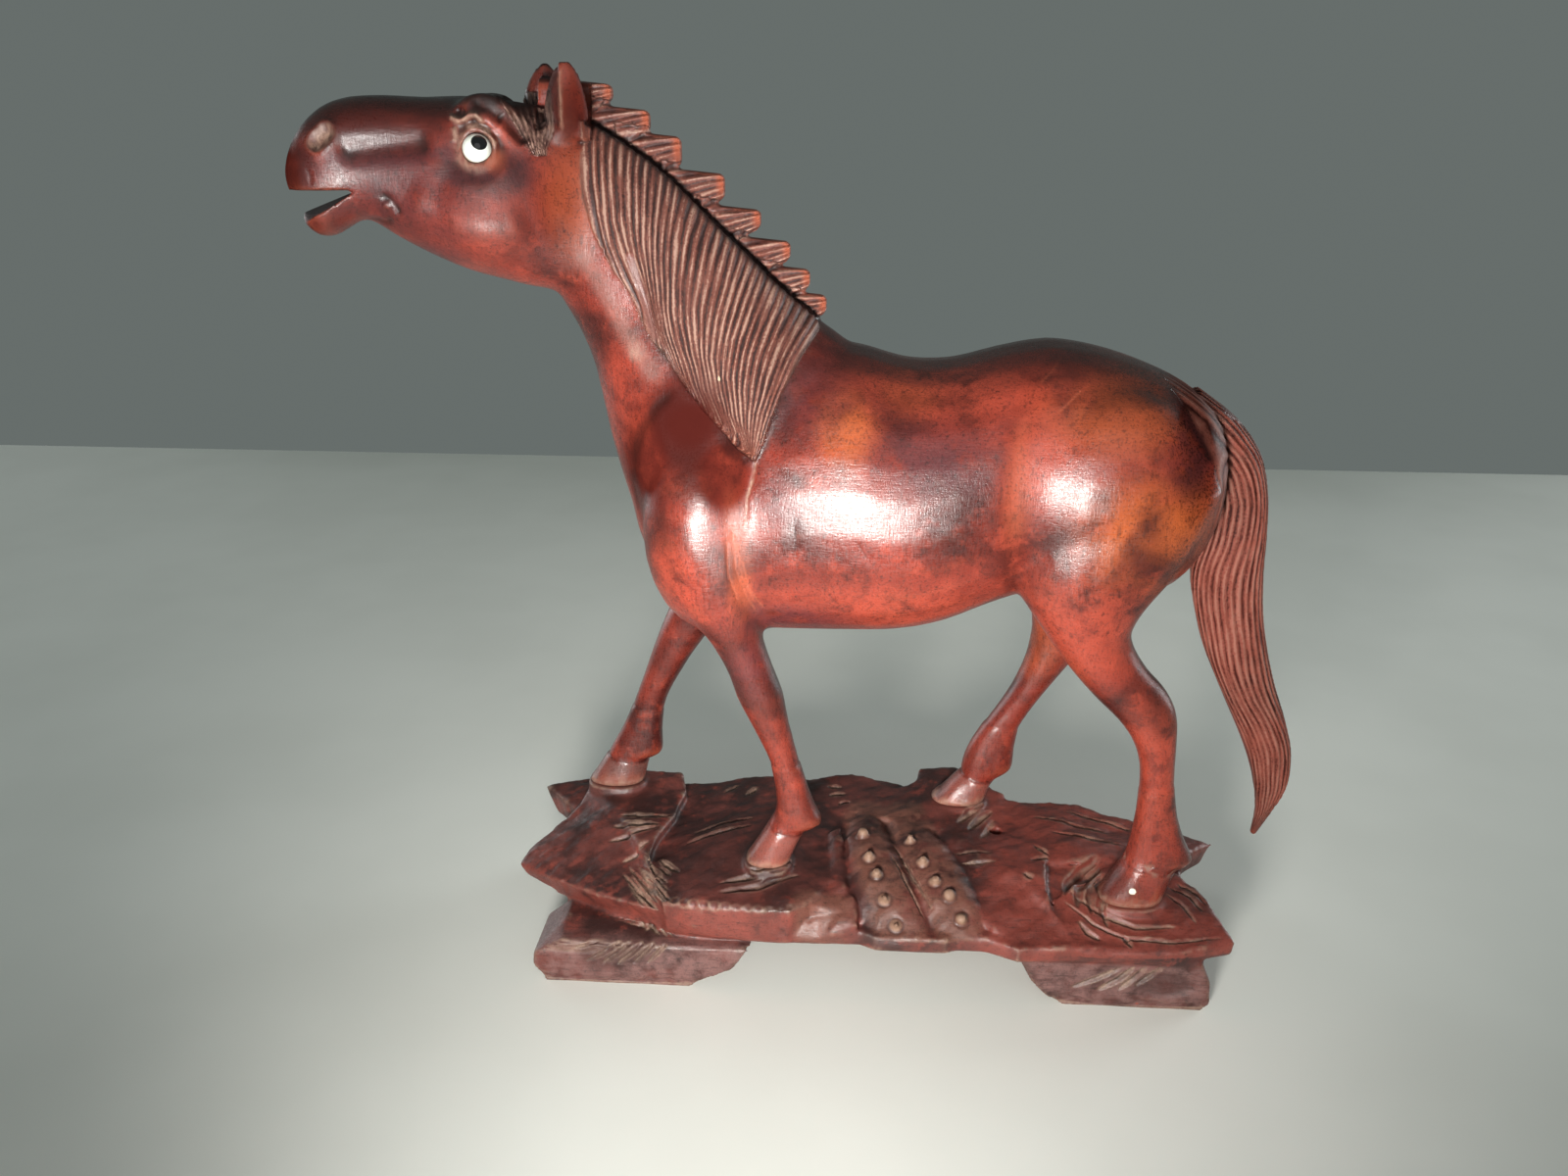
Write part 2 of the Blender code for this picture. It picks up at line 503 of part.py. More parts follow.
def raise_locks(obj):
    """The mane stands up from the neck, and mane and tail are cut into locks."""
    mesh = obj.data
    count = len(mesh.vertices)
    places = np.empty(count * 3)
    normals = np.empty(count * 3)
    mesh.vertices.foreach_get("co", places)
    mesh.vertex_normals.foreach_get("vector", normals)
    places = places.reshape(-1, 3)
    normals = normals.reshape(-1, 3)
    x = places[:, 0] / SQUARE
    y = places[:, 1] / SQUARE
    z = (places[:, 2] - DECK_HEIGHT) / SQUARE + DECK_ROW
    front = curve_x(MANE_FRONT, z)
    back = np.where(z < MANE_BACK[-1][1], curve_x(MANE_BACK, z),
                    curve_x(MANE_TOP, z) - MANE_BELOW_RIDGE)
    inside = np.clip(np.minimum(x - front, back - x) / MANE_EDGE, 0, 1)
    inside *= (np.abs(y) > RIDGE_HALF) & (z > MANE_FRONT[-1][1]) & (z < MANE_FRONT[0][1])
    share = (x - front) / np.maximum(back - front, 1.0)
    wave = np.abs(np.sin(math.pi * MANE_LOCKS * share))
    push = inside * (MANE_RAISE + LOCK_DEPTH * (wave - 1))
    tail = smooth_rows(TAIL, 3)
    heights = np.array([(row[1] + row[3]) / 2 for row in tail])[::-1]
    lower = np.interp(z, heights, np.array([row[0] for row in tail])[::-1])
    upper = np.interp(z, heights, np.array([row[2] for row in tail])[::-1])
    on_tail = (x > lower + TAIL_LOCK_INSET) & (x < upper - TAIL_LOCK_INSET)
    on_tail &= (np.abs(y) < TAIL_LOCK_HALF) & (x > TAIL_LOCK_X)
    on_tail &= (z > TAIL_LOCK_ROWS[0]) & (z < TAIL_LOCK_ROWS[1])
    tail_share = (x - lower) / np.maximum(upper - lower, 1.0)
    push -= on_tail * LOCK_DEPTH * (1 - np.abs(np.sin(math.pi * TAIL_LOCKS * tail_share)))
    places += normals * (push * SQUARE)[:, None]
    mesh.vertices.foreach_set("co", places.ravel())
    mesh.update()


def thin(obj, triangles):
    """Fewer, larger facets."""
    bm = bmesh.new()
    bm.from_mesh(obj.data)
    bmesh.ops.triangulate(bm, faces=bm.faces)
    bm.to_mesh(obj.data)
    bm.free()
    decimate = obj.modifiers.new("thin", "DECIMATE")
    decimate.ratio = triangles / len(obj.data.polygons)
    apply_modifiers(obj)


def mouth_cutter():
    """Wedge between the lips, open at the front."""
    corner_x, corner_z = MOUTH_CORNER
    front_x = corner_x - MOUTH_REACH
    drop = MOUTH_REACH * math.tan(MOUTH_FLOOR_SLOPE)
    outline = [(corner_x, corner_z), (front_x, MOUTH_ROOF_ROW), (front_x, corner_z - drop)]
    bm = bmesh.new()
    loft(bm, [[head_point(x, y, z) for x, z in outline] for y in (-MOUTH_CUT_HALF, MOUTH_CUT_HALF)])
    return mesh_object("mouth_cutter", bm)


def eye_centre(side):
    """Middle of the glass bead; side is -1 on the horse's left."""
    return head_point(EYE_AT[0], side * EYE_AT[1], EYE_AT[2])


def bead(name, side, radius, segments):
    """Round bead in its socket."""
    bm = bmesh.new()
    bmesh.ops.create_uvsphere(bm, u_segments=segments, v_segments=segments // 2, radius=radius)
    bmesh.ops.translate(bm, verts=bm.verts, vec=eye_centre(side))
    return mesh_object(name, bm)


def sole_cutter(leg):
    """Block whose top is the level of a sole, wider than the hoof all round."""
    bm = bmesh.new()
    front = leg["toe"] - SOLE_CUT_MARGIN
    back = leg["heel"] + SOLE_CUT_MARGIN
    half = leg["width"] + SOLE_CUT_MARGIN
    loft(bm, [[figure_point(x, leg["y"] + y, row)
               for x, y in ((front, -half), (back, -half), (back, half), (front, half))]
              for row in (leg["sole"] - SOLE_CUT_MARGIN, leg["sole"])])
    return mesh_object("sole_cutter", bm)


def make_horse():
    """The figure, carved from one block."""
    horse = soft_masses()
    fuse(horse, SOFT_VOXEL, SOFT_RUBS)
    join(horse, crisp_parts())
    fuse(horse, CRISP_VOXEL, CRISP_RUBS)
    raise_locks(horse)
    thin(horse, HORSE_TRIANGLES)
    combine(horse, mouth_cutter(), "DIFFERENCE")
    for side in (-1, 1):
        combine(horse, bead("socket", side, EYE_DIAMETER / 2 + TOUCH_GAP, 20), "DIFFERENCE")
        bm = bmesh.new()
        centre = (NOSTRIL_AT[0], side * NOSTRIL_AT[1], NOSTRIL_AT[2])
        ellipsoid(bm, centre, NOSTRIL_SIZE, head_point, 12)
        combine(horse, mesh_object("nostril_cutter", bm), "DIFFERENCE")
    for leg in LEGS.values():
        combine(horse, sole_cutter(leg), "DIFFERENCE")
    return horse


def plate_object(name, outline, crown):
    """Rock plate: a faceted top that rises or sinks to its crown, over a tapered foot."""
    bm = bmesh.new()
    middle_x = sum(corner[0] for corner in outline) / len(outline)
    middle_y = sum(corner[1] for corner in outline) / len(outline)
    top = [bm.verts.new(stand_point(*corner)) for corner in outline]
    foot = [bm.verts.new(stand_point(middle_x + (x - middle_x) * PLATE_TAPER,
                                     middle_y + (y - middle_y) * PLATE_TAPER, PLATE_FOOT_ROW))
            for x, y, _ in outline]
    peak = bm.verts.new(stand_point(*crown))
    for i in range(len(top)):
        j = (i + 1) % len(top)
        bm.faces.new((top[i], top[j], peak))
        bm.faces.new((foot[i], foot[j], top[j]))
        bm.faces.new((foot[i], top[j], top[i]))
    bm.faces.new(foot[::-1])
    return mesh_object(name, bm)


def base_plate():
    """The slab under all the plates."""
    bm = bmesh.new()
    loft(bm, [[stand_point(x, y, row) for x, y in BASE_PLATE]
              for row in (UNDERSIDE_ROW, BASE_PLATE_TOP_ROW)])
    return mesh_object("stand", bm)


def rib_object(rows):
    """Rounded rib that runs down over the near edge."""
    bm = bmesh.new()
    rings = []
    for x, y, row, half in smooth_rows(rows, 2):
        rings.append([stand_point(x + half * math.cos(turn), y,
                                  max(row - RIB_DEPTH * (1 - math.sin(turn)), RIB_LOWEST_ROW))
                      for turn in np.arange(12) * math.pi / 6])
    loft(bm, rings)
    return mesh_object("rib", bm)


def studs(rows):
    """Row of conical studs along the crown of a rib."""
    bm = bmesh.new()
    path = [stand_point(*row[:3]) for row in smooth_rows(rows, 8)]
    for k in range(STUDS_PER_RIB):
        share = FIRST_STUD + (LAST_STUD - FIRST_STUD) * k / (STUDS_PER_RIB - 1)
        index = int(share * (len(path) - 1))
        up = (path[index + 1] - path[index - 1]).cross(Vector((-1, 0, 0))).normalized()
        turn = up.to_track_quat("Z", "Y").to_matrix().to_4x4()
        depth = STUD_HEIGHT * (1 + STUD_BURIED_SHARE)
        matrix = Matrix.Translation(path[index] + up * (STUD_HEIGHT - depth / 2)) @ turn
        bmesh.ops.create_cone(bm, cap_ends=True, segments=8, radius1=STUD_DIAMETER / 2,
                              radius2=STUD_DIAMETER / 2 * STUD_TIP_SHARE, depth=depth,
                              matrix=matrix)
    return mesh_object("studs", bm)


def foot_object(outline, side):
    """Chamfered foot at a corner of the slab, from its outline in front view."""
    bm = bmesh.new()
    rings = []
    for y in (FOOT_OUTER_Y, FOOT_INNER_Y):
        rings.append([Vector((x * PLAN_X, side * y * PLAN_Y,
                              min(row / UNDERSIDE_ROW, FOOT_OVERLAP) * FOOT_HEIGHT))
                      for x, row in outline])
    loft(bm, rings)
    return mesh_object("foot", bm)


def hoof_pad(leg):
    """Level rock under a hoof, from the slab up to just below the sole."""
    bm = bmesh.new()
    top = [point - Vector((0, 0, TOUCH_GAP)) for point in hoof_ring(leg, 0.0, PAD_MARGIN)]
    foot = [Vector((point.x, point.y, FOOT_HEIGHT + ROCK_ROW)) for point in top]
    loft(bm, [foot, top])
    return mesh_object("pad", bm)


def hoof_pocket(leg):
    """Room for a hoof above its pad."""
    bm = bmesh.new()
    low = [point - Vector((0, 0, TOUCH_GAP)) for point in hoof_ring(leg, 0.0, PAD_MARGIN)]
    high = hoof_ring(leg, 1.0, PAD_MARGIN + 1)
    loft(bm, [low, high])
    return mesh_object("pocket", bm)


def make_stand():
    """The rock stand, carved from one block."""
    stand = base_plate()
    rocks = [foot_object(outline, side) for outline in FEET for side in (-1, 1)]
    rocks += [plate_object(name, outline, crown) for name, outline, crown in PLATES]
    rocks += [hoof_pad(leg) for leg in LEGS.values()]
    for rows in RIBS:
        rocks += [rib_object(rows), studs(rows)]
    for rock in rocks:
        combine(stand, rock, "UNION", "MANIFOLD")
    for leg in LEGS.values():
        combine(stand, hoof_pocket(leg), "DIFFERENCE", "MANIFOLD")
    return stand


def material(name, colour, roughness):
    """Plain surface in the part's colour."""
    result = bpy.data.materials.new(name)
    result.use_nodes = True
    shader = result.node_tree.nodes["Principled BSDF"]
    shader.inputs["Base Color"].default_value = colour
    shader.inputs["Roughness"].default_value = roughness
    shader.inputs["Metallic"].default_value = 0.0
    return result


def centre_on_origin(objects):
    """The middle of the whole box comes over the origin."""
    bpy.context.view_layer.update()
    corners = [obj.matrix_world @ Vector(corner) for obj in objects for corner in obj.bound_box]
    root = bpy.data.objects.new("root", None)
    bpy.context.scene.collection.objects.link(root)
    for obj in objects:
        obj.parent = root
    for axis in (0, 1):
        values = [corner[axis] for corner in corners]
        root.location[axis] = -(min(values) + max(values)) / 2


def main():
    for obj in list(bpy.data.objects):
        bpy.data.objects.remove(obj)
    horse = make_horse()
    stand = make_stand()
    left_eye = bead("left_eye", -1, EYE_DIAMETER / 2, 16)
    right_eye = bead("right_eye", 1, EYE_DIAMETER / 2, 16)
    horse.data.materials.append(material("stained_wood", WOOD, 0.32))
    stand.data.materials.append(material("dark_stained_wood", STAND_WOOD, 0.45))
    glass = material("white_glass", EYE_GLASS, 0.12)
    for eye in (left_eye, right_eye):
        eye.data.materials.append(glass)
    objects = [horse, stand, left_eye, right_eye]
    for obj in objects:
        obj.data.shade_smooth()
        obj.data.set_sharp_from_angle(angle=math.radians(35))
    centre_on_origin(objects)


main()
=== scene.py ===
"""Looks of a carved wooden horse with glass eyes on its carved rock stand.

The figure and the stand are carved again from the same tables as the solids, at a finer
grain, and then get the cuts that a fine tool left: strands, creases, gouges and scallops.
Each piece replaces its solid in place. Lengths inside the carving are squares of the
carver's grid, one millimetre each.
"""
import math

import bmesh
import bpy
import numpy as np
from mathutils import Matrix, Vector


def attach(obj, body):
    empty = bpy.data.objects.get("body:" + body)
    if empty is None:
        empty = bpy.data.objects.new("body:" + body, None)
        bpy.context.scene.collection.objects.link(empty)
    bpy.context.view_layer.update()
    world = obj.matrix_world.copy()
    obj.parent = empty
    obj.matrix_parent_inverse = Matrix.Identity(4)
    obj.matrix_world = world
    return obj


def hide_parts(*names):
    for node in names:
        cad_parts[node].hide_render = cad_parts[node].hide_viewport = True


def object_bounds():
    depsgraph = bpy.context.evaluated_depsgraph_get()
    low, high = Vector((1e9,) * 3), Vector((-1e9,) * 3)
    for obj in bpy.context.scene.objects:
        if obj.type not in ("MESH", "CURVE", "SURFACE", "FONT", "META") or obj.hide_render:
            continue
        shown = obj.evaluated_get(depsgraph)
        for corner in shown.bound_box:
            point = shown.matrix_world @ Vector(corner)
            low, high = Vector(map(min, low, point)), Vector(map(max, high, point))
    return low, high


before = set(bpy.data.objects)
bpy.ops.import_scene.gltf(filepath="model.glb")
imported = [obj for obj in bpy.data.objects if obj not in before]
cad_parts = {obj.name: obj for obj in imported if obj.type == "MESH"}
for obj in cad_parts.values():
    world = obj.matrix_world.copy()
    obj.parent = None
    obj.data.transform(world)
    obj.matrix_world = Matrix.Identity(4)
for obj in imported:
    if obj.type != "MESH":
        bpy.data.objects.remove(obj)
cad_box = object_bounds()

# Lengths in metres, as in the solids
SQUARE = 0.001
DECK_HEIGHT = 0.018
FOOT_HEIGHT = 0.010
STUD_DIAMETER = 0.0023
STUD_HEIGHT = 0.0011
TOUCH_GAP = 0.0003           # between a sole's level and its pad
ROOT_SHIFT = Vector((0.008665, -0.00005, 0.0))
SOFT_VOXEL = 0.0008
FINE_VOXEL = 0.00032
STAND_VOXEL = 0.0003

# Passes that rub a fused skin down, and the triangles that stay
SOFT_RUBS = 8
FINE_RUBS = 2
HORSE_TRIANGLES = 196000
STAND_TRIANGLES = 180000

# Rows, places and sizes on the carver's grid, and the turn of the head
DECK_ROW = 18
UNDERSIDE_ROW = 10
HEAD_PIVOT_X = -48
HEAD_YAW = math.radians(10)
EYE_RADIUS = 2.3
SOCKET_GAP = 0.06            # squares between a bead and its socket
GAZE = (0.290, 0.807, 0.515)     # where a pupil looks, in the head's own frame
PUPIL_COSINE = 0.842
PUPIL_EDGE = 0.012

# Side-view stations of the body: lower x, z, upper x, z, half thickness and the
# height of the widest point as a share of the section, all on the carver's grid.
TRUNK = [
    (-40.8, 80.0, -41.0, 90.0, 6.0, 0.50),
    (-38.4, 73.0, -38.6, 100.0, 12.0, 0.45),
    (-33.0, 68.6, -33.0, 107.0, 16.0, 0.45),
    (-25.0, 67.0, -24.0, 112.0, 18.6, 0.45),
    (-15.0, 66.9, -14.0, 117.0, 20.4, 0.46),
    (-5.0, 67.2, -5.0, 117.8, 21.6, 0.46),
    (4.0, 67.8, 4.0, 115.4, 22.0, 0.46),
    (12.0, 69.6, 12.0, 115.4, 21.6, 0.47),
    (20.0, 73.0, 20.0, 117.5, 20.6, 0.48),
    (28.0, 75.6, 28.0, 118.9, 19.8, 0.50),
    (36.0, 76.0, 36.0, 117.8, 20.2, 0.52),
    (44.0, 75.0, 44.0, 115.3, 19.6, 0.55),
    (51.0, 77.0, 51.4, 111.8, 17.2, 0.55),
    (56.0, 84.0, 56.6, 107.0, 12.6, 0.52),
    (58.4, 91.0, 58.8, 100.5, 5.0, 0.50),
]
NECK = [
    (-58.0, 132.5, -46.5, 153.0, 8.2, 0.50),
    (-54.2, 125.6, -41.0, 149.4, 9.3, 0.46),
    (-51.0, 119.8, -35.5, 145.4, 9.8, 0.44),
    (-49.0, 114.4, -29.2, 139.6, 10.2, 0.42),
    (-47.8, 108.6, -23.4, 134.2, 11.2, 0.42),
    (-46.7, 102.4, -18.0, 128.6, 12.6, 0.42),
    (-45.2, 96.2, -12.0, 122.8, 14.4, 0.42),
    (-43.4, 90.0, -5.0, 117.6, 16.6, 0.44),
    (-41.8, 83.0, 3.0, 110.0, 17.6, 0.46),
    (-37.0, 77.0, 6.0, 98.0, 16.0, 0.50),
]
HEAD = [
    (-49.0, 129.5, -45.5, 150.5, 5.5, 0.50),
    (-52.5, 127.0, -50.0, 153.8, 8.2, 0.46),
    (-57.0, 126.8, -55.0, 155.3, 9.4, 0.42),
    (-62.5, 128.2, -61.5, 156.4, 10.2, 0.40),
    (-68.5, 129.9, -67.5, 157.0, 9.8, 0.40),
    (-74.3, 132.4, -73.8, 156.8, 8.6, 0.44),
    (-79.8, 135.4, -79.6, 157.1, 7.6, 0.50),
    (-84.2, 138.2, -85.0, 156.9, 7.2, 0.52),
    (-87.2, 137.0, -88.8, 155.9, 7.2, 0.50),
    (-90.0, 135.5, -91.8, 153.9, 6.9, 0.48),
    (-92.2, 135.7, -94.2, 151.2, 6.2, 0.46),
    (-93.8, 137.2, -95.7, 148.2, 5.1, 0.45),
    (-94.8, 139.6, -96.5, 145.6, 3.4, 0.45),
]
TAIL = [
    (50.0, 104.0, 53.5, 111.2, 4.4, 0.50),
    (53.8, 101.0, 60.0, 106.4, 6.2, 0.50),
    (56.0, 97.0, 64.4, 101.0, 6.6, 0.50),
    (57.0, 91.5, 66.6, 94.6, 6.3, 0.50),
    (56.6, 85.8, 67.7, 86.6, 5.7, 0.50),
    (55.7, 79.2, 68.2, 79.2, 5.0, 0.50),
    (56.9, 72.6, 69.2, 71.4, 4.2, 0.50),
    (59.4, 64.6, 70.8, 64.4, 4.0, 0.50),
    (63.3, 56.2, 73.2, 57.0, 3.7, 0.50),
    (67.4, 48.2, 76.2, 49.4, 3.3, 0.50),
    (70.4, 41.6, 78.1, 43.2, 2.9, 0.50),
    (72.4, 35.4, 78.4, 36.0, 2.4, 0.50),
    (73.3, 30.2, 76.6, 30.8, 1.6, 0.50),
    (73.0, 25.0, 74.0, 25.0, 0.7, 0.50),
]

# Leg stations: front x, z, back x, z and half thickness, down to the crown of the
# hoof. The hoof below it is a slanted cone that ends on its flat sole. A leg leaves
# the body at LEG_ROOT_Y and stands at its own y.
LEGS = {
    "near_fore": dict(y=-10.4, sole=22.4, toe=-23.0, heel=-14.6, width=4.2,
                      crown=(-18.6, 30.0, -12.3, 28.2), rows=[
        (-37.6, 84.0, -18.0, 84.0, 8.2), (-35.6, 77.0, -20.0, 76.0, 7.4),
        (-32.0, 72.2, -20.0, 71.2, 6.2), (-28.9, 68.2, -19.0, 66.8, 5.0),
        (-25.8, 62.0, -17.5, 62.1, 4.3), (-24.2, 56.7, -15.8, 57.3, 4.0),
        (-22.0, 51.9, -14.9, 51.9, 3.6), (-19.9, 47.2, -13.8, 47.2, 3.1),
        (-18.2, 42.9, -12.7, 42.7, 2.8), (-17.3, 37.5, -11.1, 37.1, 2.8),
        (-17.2, 33.8, -9.7, 33.3, 3.1), (-17.7, 31.6, -8.7, 30.6, 3.2),
        (-18.3, 30.4, -11.6, 29.0, 3.1)]),
    "far_fore": dict(y=13.0, sole=25.0, toe=-57.6, heel=-46.4, width=4.2,
                     crown=(-53.6, 30.8, -45.3, 29.6), rows=[
        (-34.0, 84.0, -16.0, 82.0, 7.6), (-35.0, 76.0, -22.0, 70.0, 7.0),
        (-36.8, 69.0, -28.0, 64.0, 5.8), (-40.0, 63.4, -31.6, 59.4, 4.8),
        (-42.7, 56.9, -35.3, 54.2, 4.1), (-44.6, 51.6, -37.9, 49.8, 3.6),
        (-46.4, 46.6, -40.4, 45.2, 3.1), (-48.2, 41.8, -41.8, 41.0, 2.8),
        (-50.0, 37.6, -42.3, 36.6, 2.9), (-51.6, 34.6, -42.3, 33.0, 3.1),
        (-52.6, 32.8, -42.8, 31.2, 3.2), (-53.3, 31.4, -45.0, 30.2, 3.2)]),
    "near_hind": dict(y=-10.4, sole=17.2, toe=43.2, heel=55.0, width=4.6,
                      crown=(47.3, 25.0, 56.8, 23.4), rows=[
        (22.8, 95.0, 56.4, 98.0, 9.0), (22.6, 87.0, 53.8, 90.0, 9.6),
        (23.2, 80.4, 50.2, 83.0, 9.2), (27.4, 73.6, 45.4, 76.0, 7.8),
        (33.4, 65.2, 43.9, 70.8, 6.2), (38.8, 58.9, 47.2, 64.7, 5.0),
        (43.2, 54.5, 50.8, 60.8, 4.4), (46.2, 50.4, 53.4, 56.1, 4.2),
        (48.0, 45.6, 54.2, 49.4, 3.7), (48.6, 39.8, 54.7, 41.4, 3.3),
        (48.6, 34.9, 56.0, 34.7, 3.3), (48.3, 30.8, 58.0, 29.4, 3.5),
        (47.8, 27.4, 59.7, 25.6, 3.7), (47.5, 25.6, 57.4, 24.0, 3.8)]),
    "far_hind": dict(y=13.0, sole=23.2, toe=12.8, heel=23.4, width=4.2,
                     crown=(18.5, 29.2, 24.9, 27.4), rows=[
        (24.0, 90.0, 50.0, 92.0, 8.2), (24.0, 82.0, 47.0, 80.0, 8.0),
        (26.6, 74.0, 44.0, 70.0, 7.0), (29.4, 67.4, 41.8, 61.6, 5.6),
        (30.4, 61.6, 39.6, 56.4, 4.6), (29.6, 55.2, 36.6, 52.0, 4.1),
        (27.6, 49.4, 33.6, 47.4, 3.6), (25.0, 44.4, 31.2, 43.2, 3.1),
        (22.4, 40.2, 29.3, 39.2, 2.9), (20.2, 36.2, 28.8, 35.2, 3.0),
        (19.0, 33.0, 28.7, 31.6, 3.2), (18.6, 31.0, 28.0, 29.8, 3.2),
        (18.5, 29.8, 25.6, 28.2, 3.1)]),
}
LEG_ROOT_Y = 12.3
LEG_ROOT_ROW = 72
LEG_CROWN_ROW = 30
SOLE_ALLOWANCE = 1.0         # squares of hoof below the sole, which the sole cut takes off
SOLE_CUT_MARGIN = 4
HOOF_LIP = 0.15              # squares by which the hoof's crown stands out from the leg

# Round masses that swell out of the body: centre x, y, z and radii, in squares
SHOULDER = ((-28.8, 11.0, 87.5), (11.2, 9.8, 18.0))
HAUNCH = ((37.5, 11.4, 95.0), (17.5, 10.6, 18.5))
CHEEK = ((-63.5, 4.6, 140.6), (10.5, 7.0, 10.6))
BROW = ((-64.0, 5.4, 153.8), (5.0, 3.2, 3.8))
EYE_AT = (-65.2, 8.3, 149.2)
MOUTH_CORNER = (-84.6, 143.1)
MOUTH_ROOF_ROW = 143.0
MOUTH_FLOOR = ((-15, 33), (-6, 30), (0, 21), (6, 30), (15, 33))
MOUTH_REACH = 18             # squares from the mouth's corner to the cutter's open end

# Ears: middle of the root, tip, half width at the root, half thickness
EARS = [
    ((-51.5, -5.6, 152.0), (-51.2, -6.0, 161.9), 3.65, 1.9),
    ((-56.0, 5.0, 152.8), (-55.0, 5.4, 161.6), 3.6, 1.9),
]
EAR_RINGS = 9
EAR_ROOT_SHARE = -0.15       # how far the root runs down into the head
EAR_TIP_SWELL = 0.12         # width left at the tip, as a share of the widest
EAR_EDGE_SHARE = 0.35        # thickness at the tip, as a share of the root's

# The standing crest: tip of each tuft's upper edge, height of its blunt end
TUFTS = [
    (-44.2, 158.6, 2.6), (-38.3, 154.7, 3.4), (-33.3, 150.7, 4.6), (-26.3, 145.0, 4.0),
    (-20.4, 139.4, 3.0), (-15.5, 134.4, 3.0), (-12.2, 129.9, 3.0), (-9.4, 125.7, 3.0),
]
TUFT_LENGTH = 11.5
TUFT_FALL = 0.10             # fall of a tuft's upper edge per square of length
TUFT_ROOT_HALF = 2.9
TUFT_TIP_HALF = 1.7
TUFT_ROOT_HEIGHT = 9.0
TUFT_MIDDLE_Y = 0.6
TUFT_STATIONS = (0.0, 0.35, 0.7, 0.94)
TUFT_END_CHAMFER = 0.5       # squares taken off a tuft's end, above and below

MANE_RAISE = 0.9

